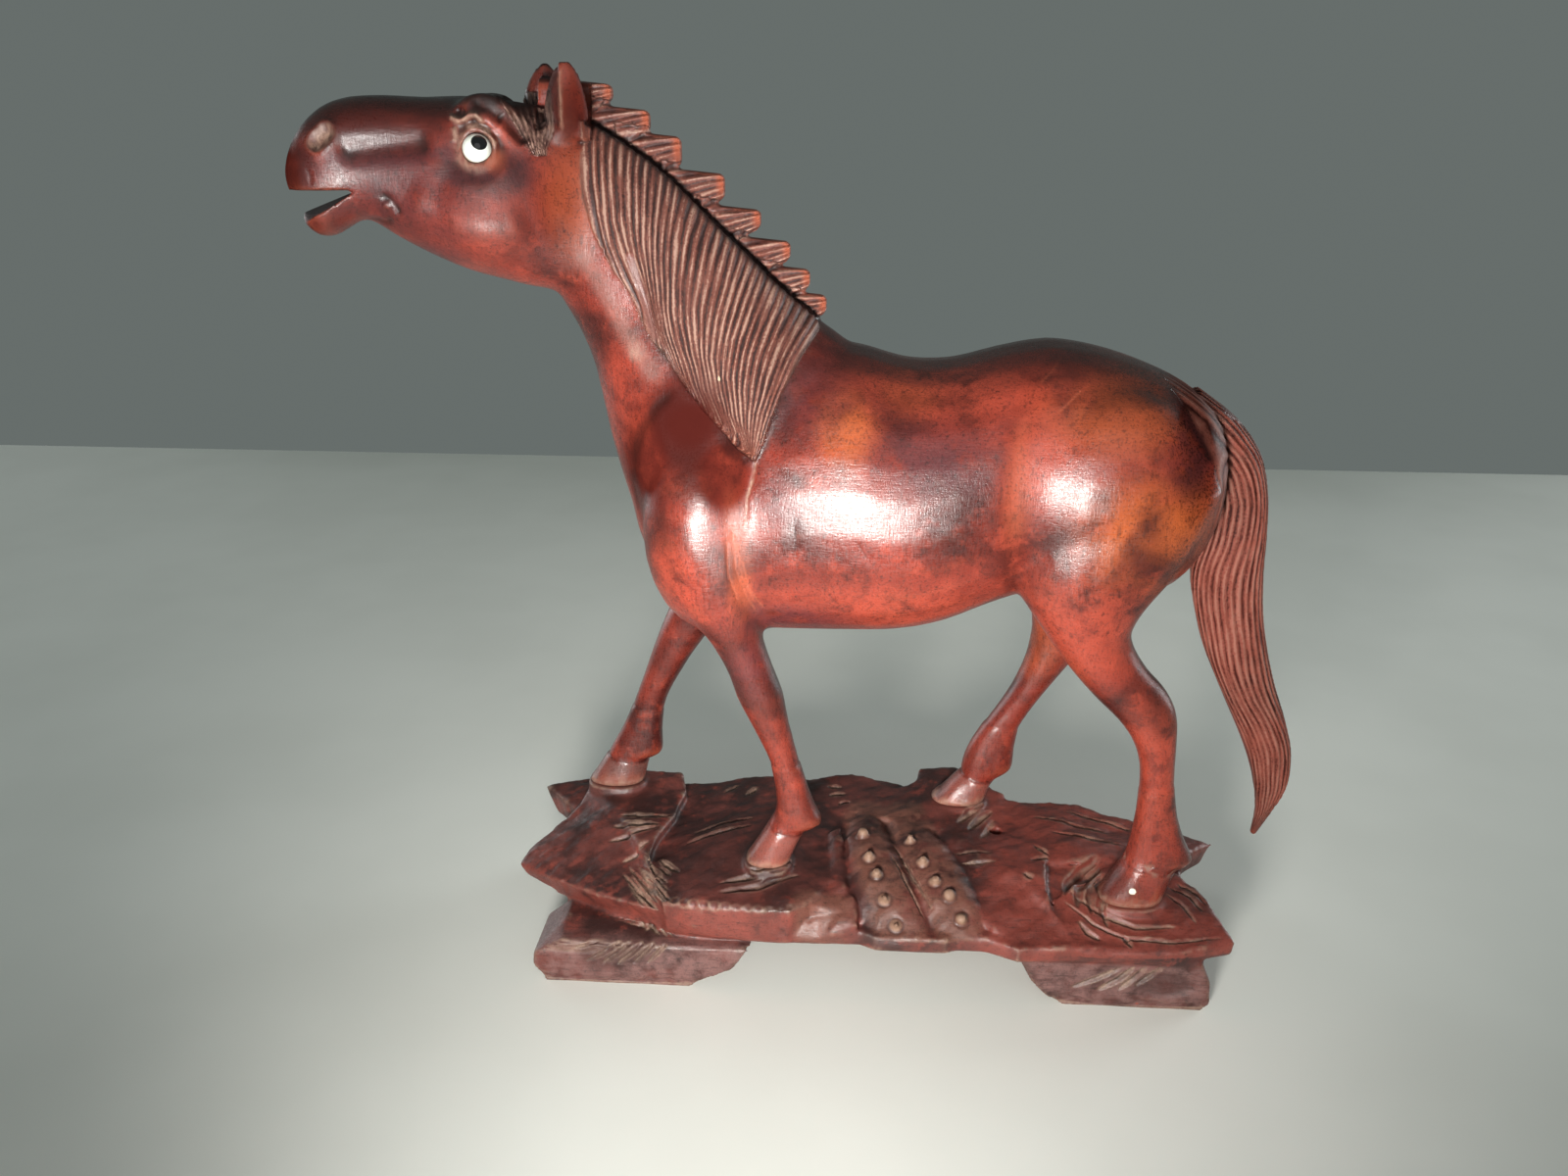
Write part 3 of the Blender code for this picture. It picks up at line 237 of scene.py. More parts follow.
# Rock plates of the stand: corner x, y and row of the top face, then the crown
BASE_PLATE = [
    (-61, -8), (-48, -14.8), (-36, -18.6), (-22, -20.4), (-8, -20.0), (-1.6, -20.0),
    (2, -21.9), (15, -21.7), (17.4, -20.2), (20.4, -20.0), (27.6, -23.4), (39, -22.2),
    (56, -20.8), (63, -16), (62, 6), (55, 12), (31, 17), (19, 22.4), (8, 20.5),
    (-8, 23.5), (-25, 21.4), (-45, 18.6), (-60, 16), (-63, 3),
]
BASE_PLATE_TOP_ROW = 13.4
PLATES = [
    ("arrow", [(-69.6, -5, 14.6), (-59.7, -10.8, 15), (-49, -15.4, 15), (-37, -19.4, 15),
        (-38.6, -16, 18), (-41.6, -10.6, 20.4), (-41.2, -4, 21.8), (-38.4, 3.8, 22.4),
        (-37.4, 11.4, 23.4), (-39.3, 16.6, 24.2), (-48, 17.4, 24.5), (-57.8, 13.6, 23.2),
        (-59.8, 8.3, 20), (-63.4, 5.2, 17.6), (-67.9, -0.2, 15.6)], (-51.5, 5.0, 22.8)),
    ("rear_spur", [(-68.6, 16.6, 20), (-60, 8.6, 19), (-50, 12, 20.6), (-50, 20, 20.6),
        (-60, 20.0, 20.2)], (-58, 16, 21)),
    ("hollow", [(-38, -19.4, 17.2), (-31, -20.7, 18), (-20.6, -21.6, 18.2), (-14, -21.8, 18.2),
        (-10, -18.4, 18.4), (-7, -12, 18.8), (-5, 0, 19.6), (-7, 13, 21.2), (-9, 20, 21.8),
        (-19, 20.6, 22), (-25, 20, 22), (-40, 16.4, 21.2), (-44, 0, 19.4), (-44, -9, 18.6)],
        (-19.0, -9.0, 22.0)),
    ("rear_wave", [(-13, 9, 20.8), (-4, 8, 21.2), (9, 9, 22.0), (9.5, 18.6, 21.6),
        (3.5, 21.6, 21.6), (-3.5, 22.2, 22.6), (-12, 20.8, 21.8)], (-3, 16, 21.6)),
    ("light_facet", [(-16.6, -20.8, 12.2), (-7.4, -14.6, 17.6), (-2.2, -15.6, 17.6),
        (-1.4, -20.4, 15), (-8.9, -21.0, 11.8)], (-6.6, -18.8, 15.4)),
    ("fin", [(-7.6, 1.0, 21.3), (-5.4, 1.6, 22.0), (-3.6, -14.6, 18.2), (-7.0, -14.6, 18.0)],
        (-5.6, -6.0, 21.2)),
    ("facet_bed", [(-11.0, -18.6, 17.4), (-7.6, -10, 18.5), (-4.6, -8, 19.0), (-2.4, -15.2, 17.3),
        (-4.0, -18.2, 16.0)], (-6.4, -14.0, 18.1)),
    ("rib_bed", [(-6.6, 9.5, 20.9), (13, 9, 21.3), (20, -2, 20.4), (22, -10, 18.4),
        (22.2, -19.4, 12.8), (16, -21.6, 11.8), (2.2, -21.7, 11.8), (-3.4, -16.4, 16.4),
        (-5.2, -8, 19.8)], (8, -9, 19.7)),
    ("scoop_bed", [(33.4, -5, 18.8), (34, 1, 19.4), (46, 0, 18.8), (52, -2, 17.8), (50, -9, 17.0),
        (40, -13.6, 16.6), (34.2, -13.6, 17.0)], (41, -6, 17.4)),
    ("step", [(22.0, -18.4, 15), (28.6, -23.0, 12.4), (39, -22.5, 12.6), (34.2, -15.8, 17.2),
        (33.6, -10, 20), (35, 0, 20.2), (24, 5, 20.6), (12.6, 4, 21.6), (16.8, -4.6, 20),
        (19.4, -10, 18)], (26.5, -8, 20.4)),
    ("plateau", [(9.4, 19.0, 23.0), (10.4, 22.6, 24.4), (18.6, 23.0, 24.6), (22.4, 19.4, 23.6),
        (28, 15.4, 22.6), (27, 6, 20.6), (14, 3, 21.6), (6, 4, 22.2), (-2, 8, 21.6),
        (3, 17, 21.8)], (15, 12, 23.2)),
    ("rear_slope", [(27, 14.4, 22.2), (43, 15.4, 20.8), (53, 12.6, 19.6), (60, 10, 17.6),
        (59, -2, 17.8), (46, -2, 19), (33, -5, 19.4), (26, 4, 20.2)], (38, 6, 21)),
    ("lens", [(37, -11, 18.4), (33.2, -16.6, 16), (39.4, -22.7, 12.3), (56, -22.0, 12.8),
        (67.4, -19.4, 14), (64, -10.8, 16.8), (59.4, -3.2, 17.6), (47, -2.4, 18.2)],
        (50, -11, 17.0)),
    ("right_tip", [(69.9, 9.7, 16.4), (62, 3, 17.2), (54, 5, 17.4), (54, 12.6, 17.2),
        (63, 12.8, 16.2)], (61, 8.6, 17.5)),
]
PLATE_TAPER = 0.965          # size of a plate's foot against its outline
PLATE_FOOT_ROW = 10.4
PLATE_FEET = {"right_tip": (0.75, 11.2), "arrow": (0.90, 11.2), "rear_spur": (0.8, 13.0)}

# Ribs: plan x, y, row of the ridge and half width along each rib
RIBS = [
    [(-0.6, 7.5, 21.8, 3.6), (0.6, -2.5, 22.7, 4.8), (2.0, -9.5, 21.4, 5.6),
     (4.3, -16.0, 18.6, 6.2), (7.0, -21.4, 13.4, 6.0)],
    [(6.8, 7.0, 22.2, 3.6), (10.2, -2.5, 22.3, 5.9), (12.8, -9.5, 20.7, 6.4),
     (15.6, -15.6, 17.9, 6.2), (17.6, -20.7, 13.3, 4.8)],
]
STUDS = [
    [(-0.9, -2.3), (0.3, -8.3), (1.8, -12.1), (3.3, -16.6), (5.5, -20.0)],
    [(8.2, -2.4), (10.5, -8.2), (12.7, -12.3), (15.3, -15.0), (17.5, -18.3)],
]
RIB_LOWEST_ROW = 10.1
RIB_DEPTH = 2.9              # squares from a rib's crown to its widest level
STUD_TIP_SHARE = 0.50        # width of a stud's flat tip against its foot
STUD_BURIED_SHARE = 0.5      # part of a stud's height that sits in the rib

# Feet: outline in front view, x and row above the ground, for each end
FEET = [
    [(-60.4, 0), (-62.8, 3.2), (-62.6, 6), (-57, 11), (-21, 11), (-22, 9), (-24.8, 4),
     (-30.6, 1.6), (-32.8, 0)],
    [(27.6, 11), (30.6, 4.6), (33.4, 1.6), (36.6, 0), (62, 0), (63.4, 1.2), (63, 6), (61, 11)],
]
FOOT_SHOULDERS = (8.8, 11.0)   # row of each foot's outer upper edge, which slopes up inwards
FOOT_SHOULDER_Y = 15.0
FOOT_TOP_ROW = 11.0
FOOT_OUTER_Y = 21.4          # squares from the middle to a foot's outer face
FOOT_INNER_Y = 8.6
FOOT_OVERLAP = 1.05          # a foot's height with the part that is inside the slab
POCKET_FLARE = 6.5           # squares by which the dish round a hoof widens to its crown
FETLOCK_ROWS = 5             # stations of a leg that keep their edges
CROWN_INSET = 0.6
PAD_MARGIN = 0.5             # squares of level rock around each hoof

# Outline of the hanging mane, x and z: front edge, rear edge and ridge
MANE_EDGE = [(-48.3, 153.5), (-48.4, 147.2), (-48.2, 142.1), (-46.6, 137.0), (-44.8, 133.0),
             (-43.3, 130.6), (-40.9, 127.3), (-39.7, 124.6), (-38.6, 122.0), (-37.2, 119.8),
             (-35.4, 118.0), (-33.0, 114.5), (-31.4, 112.2), (-29.0, 109.5), (-25.8, 106.4),
             (-23.4, 103.8), (-20.0, 101.4)]
MANE_REAR = [(-20.0, 101.4), (-18.7, 104.2), (-17.6, 107.5), (-15.8, 112.1), (-12.9, 117.5),
             (-9.2, 122.4), (-6.0, 128.0), (-3.0, 156.0)]
# Height at the mane's front edge and number of the strand that ends there
STRAND_ENDS = [(101.4, 31), (102.8, 26.5), (103.5, 21.4), (106.1, 18.1), (107.3, 15.6),
               (108.9, 13.2), (110.4, 12), (112.5, 9.6), (114.5, 7.4), (118.0, 5.6),
               (120.5, 3.5), (125.5, 2.2), (130.7, 1.0), (140.0, 0.0), (156.0, 0.0)]
MANE_RIDGE = [(-47.0, 152.9), (-41.9, 150.0), (-37.9, 147.3), (-34.2, 144.4), (-30.5, 140.8),
              (-26.0, 136.4), (-22.5, 133.2), (-18.7, 129.4), (-14.5, 125.7), (-9.2, 121.6)]
# A strand's number, and its line from the ridge down to the mane's front edge, x and z
STRANDS = [
    (1.0, [(-46.9, 151.1), (-46.6, 147.9), (-46.4, 143.6), (-45.7, 139.2), (-44.6, 134.7),
        (-43.3, 130.7)]),
    (2.2, [(-45.5, 150.1), (-45.1, 145.0), (-44.7, 139.9), (-43.7, 134.8), (-42.0, 129.6),
        (-40.1, 125.5)]),
    (3.5, [(-43.7, 149.1), (-43.4, 143.6), (-42.8, 138.5), (-41.3, 134.0), (-39.9, 129.6),
        (-38.4, 125.1), (-37.2, 120.5)]),
    (5.6, [(-40.7, 148.0), (-40.6, 142.1), (-40.2, 137.0), (-39.3, 132.6), (-38.2, 128.8),
        (-37.1, 124.3), (-36.0, 120.6), (-35.3, 118.0)]),
    (7.4, [(-38.4, 147.3), (-38.4, 140.7), (-38.3, 134.8), (-37.6, 128.8), (-36.5, 123.6),
        (-34.8, 118.0), (-33.0, 114.5)]),
    (9.6, [(-35.8, 145.1), (-36.3, 138.5), (-36.4, 132.1), (-36.0, 126.2), (-35.1, 121.3),
        (-33.2, 116.0), (-31.4, 112.5)]),
    (12.0, [(-33.0, 143.2), (-33.6, 137.1), (-34.1, 130.4), (-34.0, 124.7), (-33.0, 119.5),
        (-31.4, 114.5), (-29.5, 110.4)]),
    (13.2, [(-31.1, 141.5), (-32.0, 135.6), (-32.7, 128.9), (-32.4, 122.9), (-31.4, 118.0),
        (-29.8, 113.0), (-27.9, 108.9)]),
    (15.6, [(-27.7, 138.1), (-28.9, 131.9), (-30.0, 125.2), (-29.8, 119.1), (-28.4, 112.7),
        (-25.8, 107.3)]),
    (18.1, [(-24.5, 134.9), (-25.8, 129.0), (-27.2, 123.2), (-27.8, 117.6), (-26.6, 112.0),
        (-24.2, 106.1)]),
    (21.4, [(-20.5, 132.0), (-22.3, 126.0), (-24.0, 120.3), (-24.7, 114.6), (-23.8, 108.9),
        (-21.5, 103.5)]),
    (24.5, [(-17.3, 128.7), (-19.4, 123.3), (-21.1, 117.7), (-22.0, 112.7), (-21.7, 107.4),
        (-20.7, 102.9)]),
    (27.4, [(-14.0, 125.3), (-16.1, 120.4), (-18.4, 114.7), (-19.9, 109.3), (-20.4, 102.8)]),
]
LAST_STRAND = 31
PALE_BAND = [(-47.9, 132.6), (-46.2, 129.6), (-43.4, 124.8), (-41.6, 121.0), (-40.0, 118.2),
             (-37.4, 115.0)]
STRAND_DEPTH = 0.50
SMOOTH_SLIVER = [(-40.4, 133.0), (-39.1, 128.8), (-38.0, 125.1), (-36.9, 120.5)]
TAIL_STRANDS = 9
TAIL_DEPTH = 0.42
TUFT_STRANDS = 4
FORELOCK_STRANDS = 8
PITCH_STEP = 0.2
# Heights between which the mane hangs, and the top of its table
MANE_LOW = 101.5
MANE_HIGH = 153.4
MANE_TABLE_TOP = 155.9
# Numbers at which the strands of the tail, the tufts and the forelock start
TAIL_NUMBER = 40
TUFT_NUMBER = 60
FORELOCK_NUMBER = 80

# Joins between masses that are rubbed smooth: x, z and radius
BLENDS = [(-50.5, 137.0, 13.0), (22.5, 96.0, 10.0), (-22.0, 90.0, 9.0), (-36.0, 106.0, 9.0),
          (-50.0, 148.0, 7.0)]
EAR_JOINS = [(-50.6, 151.4, 2.8), (-56.7, 152.4, 2.4)]
SOFTEN_PASSES = 60
HOLLOW_PASSES = 14           # how far round a place its hollows are looked for
# Tips of the rock that are rubbed round: x, z, radius and passes
STAND_TIPS = [(-68.5, 14.0, 6.5, SOFTEN_PASSES), (66.0, 13.5, 5.0, 24)]
RUB_SHARE = 0.6              # how far one pass moves a place to its neighbours' middle

# Strokes of the fine tools: height above the skin, half width, points in side view.
# Strokes of the head lie in the head's own turned frame.
HEAD_STROKES = [
    ("brow", 0.60, 1.25, [(-65.0, 155.6), (-63.3, 154.1), (-62.1, 152.9), (-60.1, 150.8),
        (-58.3, 149.1), (-57.3, 147.7)]),
    ("temple", -0.95, 1.20, [(-65.6, 156.8), (-63.0, 155.2), (-60.8, 153.2)]),
    ("hollow", -0.50, 1.00, [(-61.6, 154.2), (-59.4, 152.0), (-57.6, 150.0)]),
    ("jaw", 0.80, 3.20, [(-77.0, 142.6), (-73.4, 140.6), (-71.0, 139.2), (-68.4, 138.1),
        (-65.2, 137.5), (-62.0, 137.2), (-57.6, 138.6)]),
    ("crescent", 0.60, 0.38, [(-69.1, 154.5), (-68.7, 153.7), (-67.8, 153.3), (-66.7, 153.6),
        (-65.8, 154.2), (-64.9, 154.2), (-64.3, 153.3), (-63.8, 152.6)]),
    ("hollow", -0.60, 0.60, [(-68.2, 155.1), (-67.5, 154.5), (-66.7, 155.0)]),
    ("lid", 0.45, 0.40, [(-66.9, 152.3), (-65.2, 152.6), (-63.6, 151.9), (-62.6, 150.6),
        (-62.3, 149.2)]),
    ("hollow", -0.40, 0.55, [(-65.9, 153.4), (-64.3, 152.6), (-62.9, 151.6)]),
    ("soil", 0.25, 0.45, [(-68.6, 152.6), (-68.4, 151.2), (-68.8, 150.2)]),
    ("hollow", -0.80, 2.00, [(-87.3, 148.6), (-81.8, 149.3), (-76.0, 149.9), (-71.5, 150.4)]),
    ("crease", -0.30, 0.60, [(-81.0, 142.5), (-79.6, 141.8), (-78.5, 140.5), (-78.1, 139.2)]),
    ("crease", -0.32, 0.50, [(-83.8, 138.3), (-82.3, 138.4), (-80.8, 138.0), (-79.4, 138.6)]),
    ("lip", 0.22, 1.00, [(-80.4, 141.2), (-79.8, 140.2)]),
    ("thread", -0.14, 0.16, [(-91.7, 146.6), (-91.3, 145.2), (-91.3, 143.8)]),
]
NOSTRIL_LINE = [(-88.2, 151.7), (-89.9, 150.2)]
SMUDGE_LINE = [(-70.3, 146.1), (-67.6, 145.0), (-64.6, 144.5), (-61.8, 143.8), (-59.0, 144.7),
               (-59.4, 147.0)]
# Lower edge of the painted shade on the top of the nose, x and z
NOSE_TOP = [(-97.0, 143.0), (-95.6, 148.5), (-93.6, 151.4), (-90.5, 153.3), (-87.0, 154.5),
            (-80.2, 155.7), (-70.8, 155.2), (-63.0, 155.6)]
BODY_STROKES = [
    ("crease", -0.24, 0.90, [(-33.2, 112.4), (-36.8, 109.0), (-39.5, 104.8), (-41.0, 100.6),
        (-41.6, 95.3), (-41.0, 89.0)]),
    ("swell", 0.14, 2.20, [(-34.5, 107.4), (-37.2, 102.5), (-38.0, 96.0)]),
    ("scratch", -0.16, 0.20, [(-19.8, 101.8), (-20.5, 98.5), (-21.2, 95.9), (-21.5, 90.9)]),
    ("worn", -0.08, 0.85, [(-24.2, 98.5), (-24.3, 91.0), (-23.8, 85.5), (-22.6, 79.4),
        (-21.4, 74.6)]),
    ("scar", -0.10, 0.20, [(-23.6, 92.0), (-23.2, 84.0), (-21.6, 78.0), (-20.0, 74.5)]),
    ("scar", -0.10, 0.20, [(-23.0, 88.5), (-22.2, 82.0), (-20.2, 76.5)]),
    ("scar", -0.10, 0.20, [(-22.2, 86.0), (-21.2, 80.0), (-18.8, 75.5)]),
    ("scar", -0.10, 0.20, [(-24.6, 89.5), (-24.4, 83.0), (-22.8, 77.0)]),
    ("fold", -0.12, 1.60, [(23.9, 112.4), (21.8, 106.5), (21.2, 101.1), (21.1, 95.4),
        (22.1, 88.5), (22.8, 80.0)]),
    ("worn", -0.04, 1.20, [(23.2, 110.0), (22.2, 104.0), (21.9, 97.0), (22.4, 90.0)]),
    ("scar", -0.08, 0.18, [(29.2, 117.7), (27.6, 115.9), (25.3, 114.1)]),
    ("scar", -0.08, 0.18, [(31.8, 113.4), (29.7, 111.6), (28.0, 110.2)]),
    ("thread", -0.08, 0.16, [(-9.0, 83.0), (-7.6, 79.5), (-5.6, 76.6)]),
    ("thread", -0.08, 0.14, [(-13.4, 92.4), (-13.2, 87.0), (-12.6, 82.5)]),
    ("thread", -0.08, 0.14, [(-3.4, 90.0), (-1.2, 86.5)]),
    ("root", -0.20, 0.80, [(46.0, 113.8), (48.6, 110.4), (50.8, 106.0), (53.4, 101.6)]),
]
TAIL_EDGE = [(41.0, 117.0), (46.0, 113.8), (48.6, 110.4), (50.8, 106.0), (53.4, 101.6),
             (54.8, 97.1), (54.8, 92.5), (53.2, 87.3), (51.2, 83.0), (49.0, 70.0)]
TAIL_TOP = [(36.0, 119.5), (46.0, 116.6)]

# Layer and strength of the paint that a kind of stroke leaves
# The dark paint of temple, hollow, crease and root strokes is painted shade in their hollows.
STROKE_PAINT = {"temple": ("soot", 0.9), "crescent": ("soil", 1.0), "hollow": ("soot", 0.35),
                "lid": ("soil", 0.8), "soil": ("soil", 0.8), "crease": ("soot", 0.6),
                "scratch": ("soil", 0.8), "worn": ("rust", 0.22), "root": ("soot", 0.8),
                "thread": ("soot", 0.35), "scar": ("rust", 0.45), "brow": ("red", 0.9)}
# Layer and strength of the finish along a kind of body stroke
STROKE_FINISH = {"crease": ("dull", 0.8), "root": ("dull", 0.8), "fold": ("dull", 0.6),
                 "worn": ("matte", 0.6)}

# Worn, stained and mottled zones of each layer, and some painted shade and light: x, z, half
# length, half height, strength
BODY_PATCHES = {
    "amber": [(43.5, 91.0, 15, 13, 0.95), (-5.5, 107.0, 6, 7, 0.85), (5.0, 113.0, 7, 5, 0.3),
        (-22.8, 84.0, 3.0, 14, 0.35), (-50.0, 141.0, 5.5, 13, 0.45), (22.0, 97.0, 3.5, 12, 0.2),
        (30.0, 60.0, 8, 10, 0.4), (38.0, 110.0, 16, 8, 0.5)],
    # The deep patches on the shoulder's top, at x -32, and along the top of the back, at x 12, are
    # painted shade.
    "deep": [(-53.5, 141.0, 8, 14, 0.40), (-32.0, 106.0, 9, 10, 1.4), (-25.5, 98.0, 7, 8, 0.75),
        (-38.5, 98.0, 6, 13, 0.85), (12.0, 117.5, 34, 4.5, 0.8)],
    # The red band along the upper back, at x 12 and row 114, is painted light.
    "red": [(2.0, 76.0, 30, 8, 0.8), (50.0, 45.0, 10, 26, 0.85), (-14.0, 45.0, 12, 26, 0.3),
        (34.0, 74.0, 16, 16, 0.8), (-41.0, 112.0, 7, 18, 0.4), (-33.0, 82.0, 8, 9, 0.7),
        (12.0, 114.0, 26, 6, 1.0), (26.0, 104.0, 7, 12, 0.7)],
    "plum": [(-14.0, 73.0, 14, 5, 0.9), (-20.0, 64.0, 7, 8, 0.7), (9.0, 102.0, 14, 7, 0.95),
        (-12.0, 112.0, 10, 8, 0.6), (49.0, 104.0, 6, 9, 0.8), (-16.0, 95.0, 5, 6, 0.7)],
    "soot": [(-16.0, 60.0, 2.6, 9, 0.55), (50.0, 58.0, 3.6, 8, 0.5),
        (50.0, 102.0, 4.0, 13, 0.40)],
    "dull": [(-25.0, 99.5, 7, 9, 1.2), (-38.5, 101.0, 6, 12, 1.2), (-31.0, 107.0, 9, 7, 1.0),
        (50.0, 103.0, 7, 15, 1.3)],
}
HEAD_PATCHES = {
    "plum": [(-76.0, 133.0, 12, 3.5, 0.7), (-70.0, 137.0, 7, 3, 0.6),
        (-76.0, 144.0, 15, 10, 0.70), (-80.0, 142.0, 22, 16, 0.45)],
    "matte": [(-53.0, 138.0, 7, 11, 0.6), (-72.0, 143.0, 22, 15, 0.30),
        (-92.5, 137.8, 3.5, 3.5, 1.0), (-52.0, 151.3, 5.5, 2.6, 1.0), (-95.0, 146.0, 3.5, 9, 1.0),
        (-62.0, 139.5, 12, 8, 0.75)],
    # The deep patches on the top of the nose and on the front of the muzzle are painted shade.
    "deep": [(-83.0, 152.4, 17, 4.2, 0.95), (-95.5, 146.0, 6, 9, 0.75),
        (-50.0, 155.5, 4, 7, 0.55)],
    "dull": [(-53.5, 139.5, 7, 12, 0.8), (-95.0, 146.0, 3.5, 9, 1.0),
        (-92.5, 137.8, 3.0, 3.0, 0.8), (-50.5, 155.0, 5, 8, 0.9)],
    # Both dark patches here are painted shade, at the near ear's root and on the top of the brow.
    "soot": [(-52.0, 151.3, 5.0, 2.2, 0.6), (-62.5, 156.4, 4.0, 1.8, 1.0)],
    "red": [(-66.0, 140.0, 14, 10, 0.3)],
}

# Gouge cuts of the stand: half width, depth, points in plan. All of them are spindles.
TOP_CUTS = [
    (0.62, 0.55, [(-49.8, 2.3), (-44.7, 1.9), (-39.4, 2.6)]),
    (0.72, 0.60, [(-50.8, 0.1), (-45.4, -0.6), (-41.0, -0.4)]),
    (0.66, 0.55, [(-51.1, -3.2), (-45.5, -2.6), (-41.2, -1.3)]),
    (0.50, 0.45, [(-47.4, -8.4), (-44.4, -6.9), (-42.4, -5.4)]),
    (0.62, 0.50, [(-40.2, -8.2), (-37.9, -10.2), (-35.6, -11.9)]),
    (0.45, 0.45, [(-39.8, -10.2), (-38.4, -11.6), (-37.1, -12.8)]),
    (0.62, 0.55, [(-34.5, -0.4), (-28.2, 1.9), (-22.6, 3.2)]),
    (0.62, 0.55, [(-35.6, -4.2), (-30.0, -1.5), (-22.6, 0.6)]),
    (0.75, 0.65, [(-27.7, -15.8), (-20.6, -14.3), (-13.4, -10.6)]),
    (0.75, 0.60, [(-27.6, -18.0), (-19.9, -16.6), (-12.5, -12.6)]),
    (0.60, 0.55, [(-8.8, 17.4), (-5.6, 17.4)]),
    (0.70, 0.55, [(-8.2, 14.4), (-4.7, 15.0)]),
    (0.60, 0.55, [(-6.2, 11.6), (-3.6, 11.6)]),
    (0.60, 0.50, [(-25.4, 12.1), (-23.0, 15.6)]),
    (0.34, 0.40, [(4.9, -2.6), (8.3, -10.2), (12.4, -17.0)]),
    (0.34, 0.40, [(4.3, -6.4), (7.8, -13.2), (10.9, -18.4)]),
    (0.72, 0.60, [(17.7, 5.2), (20.6, 8.6), (23.4, 11.0)]),
    (0.80, 0.70, [(19.8, 3.6), (22.6, 7.6), (25.2, 10.4)]),
    (0.62, 0.35, [(22.0, 0.6), (24.0, 4.8), (25.2, 8.0)]),
    (0.34, 0.35, [(16.4, -3.9), (20.2, -3.9), (24.2, -4.2)]),
    (0.34, 0.35, [(17.9, -6.4), (21.6, -6.5), (24.8, -6.2)]),
    (0.55, 0.45, [(31.2, -4.8), (35.0, -3.4)]),
    (0.60, 0.45, [(32.4, -0.1), (34.9, -3.0)]),
    (0.70, 0.50, [(29.6, -8.4), (31.1, -10.2)]),
    (1.10, 0.95, [(37.0, -12.4), (38.2, -8.4), (41.2, -4.4), (44.8, -1.5)]),
    (1.10, 0.90, [(39.0, -14.6), (39.8, -10.6), (41.6, -7.1), (44.9, -3.2)]),
    (0.95, 0.80, [(41.4, -15.6), (41.6, -12.2), (42.8, -8.6), (45.2, -5.4)]),
    (0.60, 0.50, [(44.4, -17.6), (43.6, -14.4), (44.6, -11.2)]),
    (0.60, 0.50, [(38.9, -17.1), (40.5, -18.9), (42.8, -19.8)]),
    (0.55, 0.50, [(46.8, -18.7), (48.3, -21.3)]),
    (0.40, 0.45, [(36.4, -13.4), (41.6, -17.2), (47.6, -19.4), (55.4, -19.9), (65.0, -18.6)]),
    (0.55, 0.40, [(37.6, -11.4), (42.4, -14.8), (49.4, -17.2), (57.0, -17.0)]),
    (0.50, 0.40, [(57.0, -7.6), (60.4, -10.4), (62.4, -13.6)]),
    (0.50, 0.40, [(58.8, -6.4), (61.8, -9.6), (63.4, -12.0)]),
    (0.45, 0.35, [(56.0, -9.6), (59.0, -12.8), (60.6, -16.0)]),
    (0.50, 0.40, [(-30.0, 13.0), (-27.0, 16.2)]),
    (0.60, 0.45, [(33.0, 9.0), (41.0, 7.4), (49.0, 6.8)]),
    (0.60, 0.45, [(36.0, 4.4), (43.0, 3.0), (50.0, 3.2)]),
    (0.60, 0.45, [(40.0, 12.0), (47.0, 10.6), (54.0, 9.0)]),
    (0.55, 0.45, [(-58.0, 14.0), (-53.0, 11.0), (-48.0, 10.2)]),
]
# Cuts across the outer faces of the feet, points in front view: x and row
FOOT_CUTS = [
    (0.50, 0.50, [(-52.8, 4.6), (-48.8, 7.0), (-44.6, 10.0)]),
    (0.55, 0.55, [(-49.6, 4.2), (-46.4, 6.8), (-42.6, 10.2)]),
    (0.55, 0.55, [(-46.6, 4.4), (-43.9, 6.8), (-40.6, 10.2)]),
    (0.50, 0.50, [(-43.6, 4.6), (-41.6, 6.8), (-38.8, 10.0)]),
    (0.45, 0.45, [(-40.8, 4.9), (-39.4, 6.6), (-37.0, 9.4)]),
    (0.40, 0.35, [(-56.4, 6.6), (-52.0, 8.4), (-47.6, 10.2)]),
    (0.55, 0.50, [(37.6, 3.8), (42.6, 6.2), (47.0, 9.0)]),
    (0.62, 0.60, [(42.6, 3.4), (46.2, 6.0), (49.2, 9.2)]),
    (0.62, 0.60, [(46.2, 3.6), (49.0, 6.2), (51.2, 9.4)]),
    (0.60, 0.55, [(49.4, 4.4), (51.8, 6.6), (54.0, 9.4)]),
]
# Lines along the outer faces of the feet: from x, to x and row
FOOT_LINES = [(-58.0, -40.0, 10.6), (-59.0, -42.0, 10.0), (-59.6, -43.0, 9.3),
              (-60.2, -44.0, 8.7), (-60.4, -46.0, 8.1), (-60.6, -48.0, 7.5),
              (-60.6, -50.0, 6.9)]
# Scalloped edge of the hollow plate, in plan
SCALLOP_PATH = [(-36.5, -18.6), (-33.0, -20.3), (-28.8, -20.9), (-24.7, -21.3), (-20.6, -21.7),
                (-15.4, -21.8), (-13.0, -20.6)]
SCALLOP_COUNT = 12
STAND_RUBS = 12
SCALLOP_RADIUS = 0.95
SCALLOP_LEVEL = (17.3, 18.4)     # heights of the plate's edge along the scallops
# Scratches on the slope of the arrow plate: start and end in plan
HATCH = [(-45.6, -9.6, -38.0, -17.8), (-44.2, -9.0, -37.4, -16.6), (-46.4, -11.2, -39.4, -18.4),
         (-43.4, -10.2, -37.0, -18.8), (-44.8, -11.8, -38.6, -19.0), (-42.8, -8.6, -38.4, -14.6),
         (-45.0, -13.2, -40.2, -18.2), (-42.2, -12.4, -36.6, -19.4)]


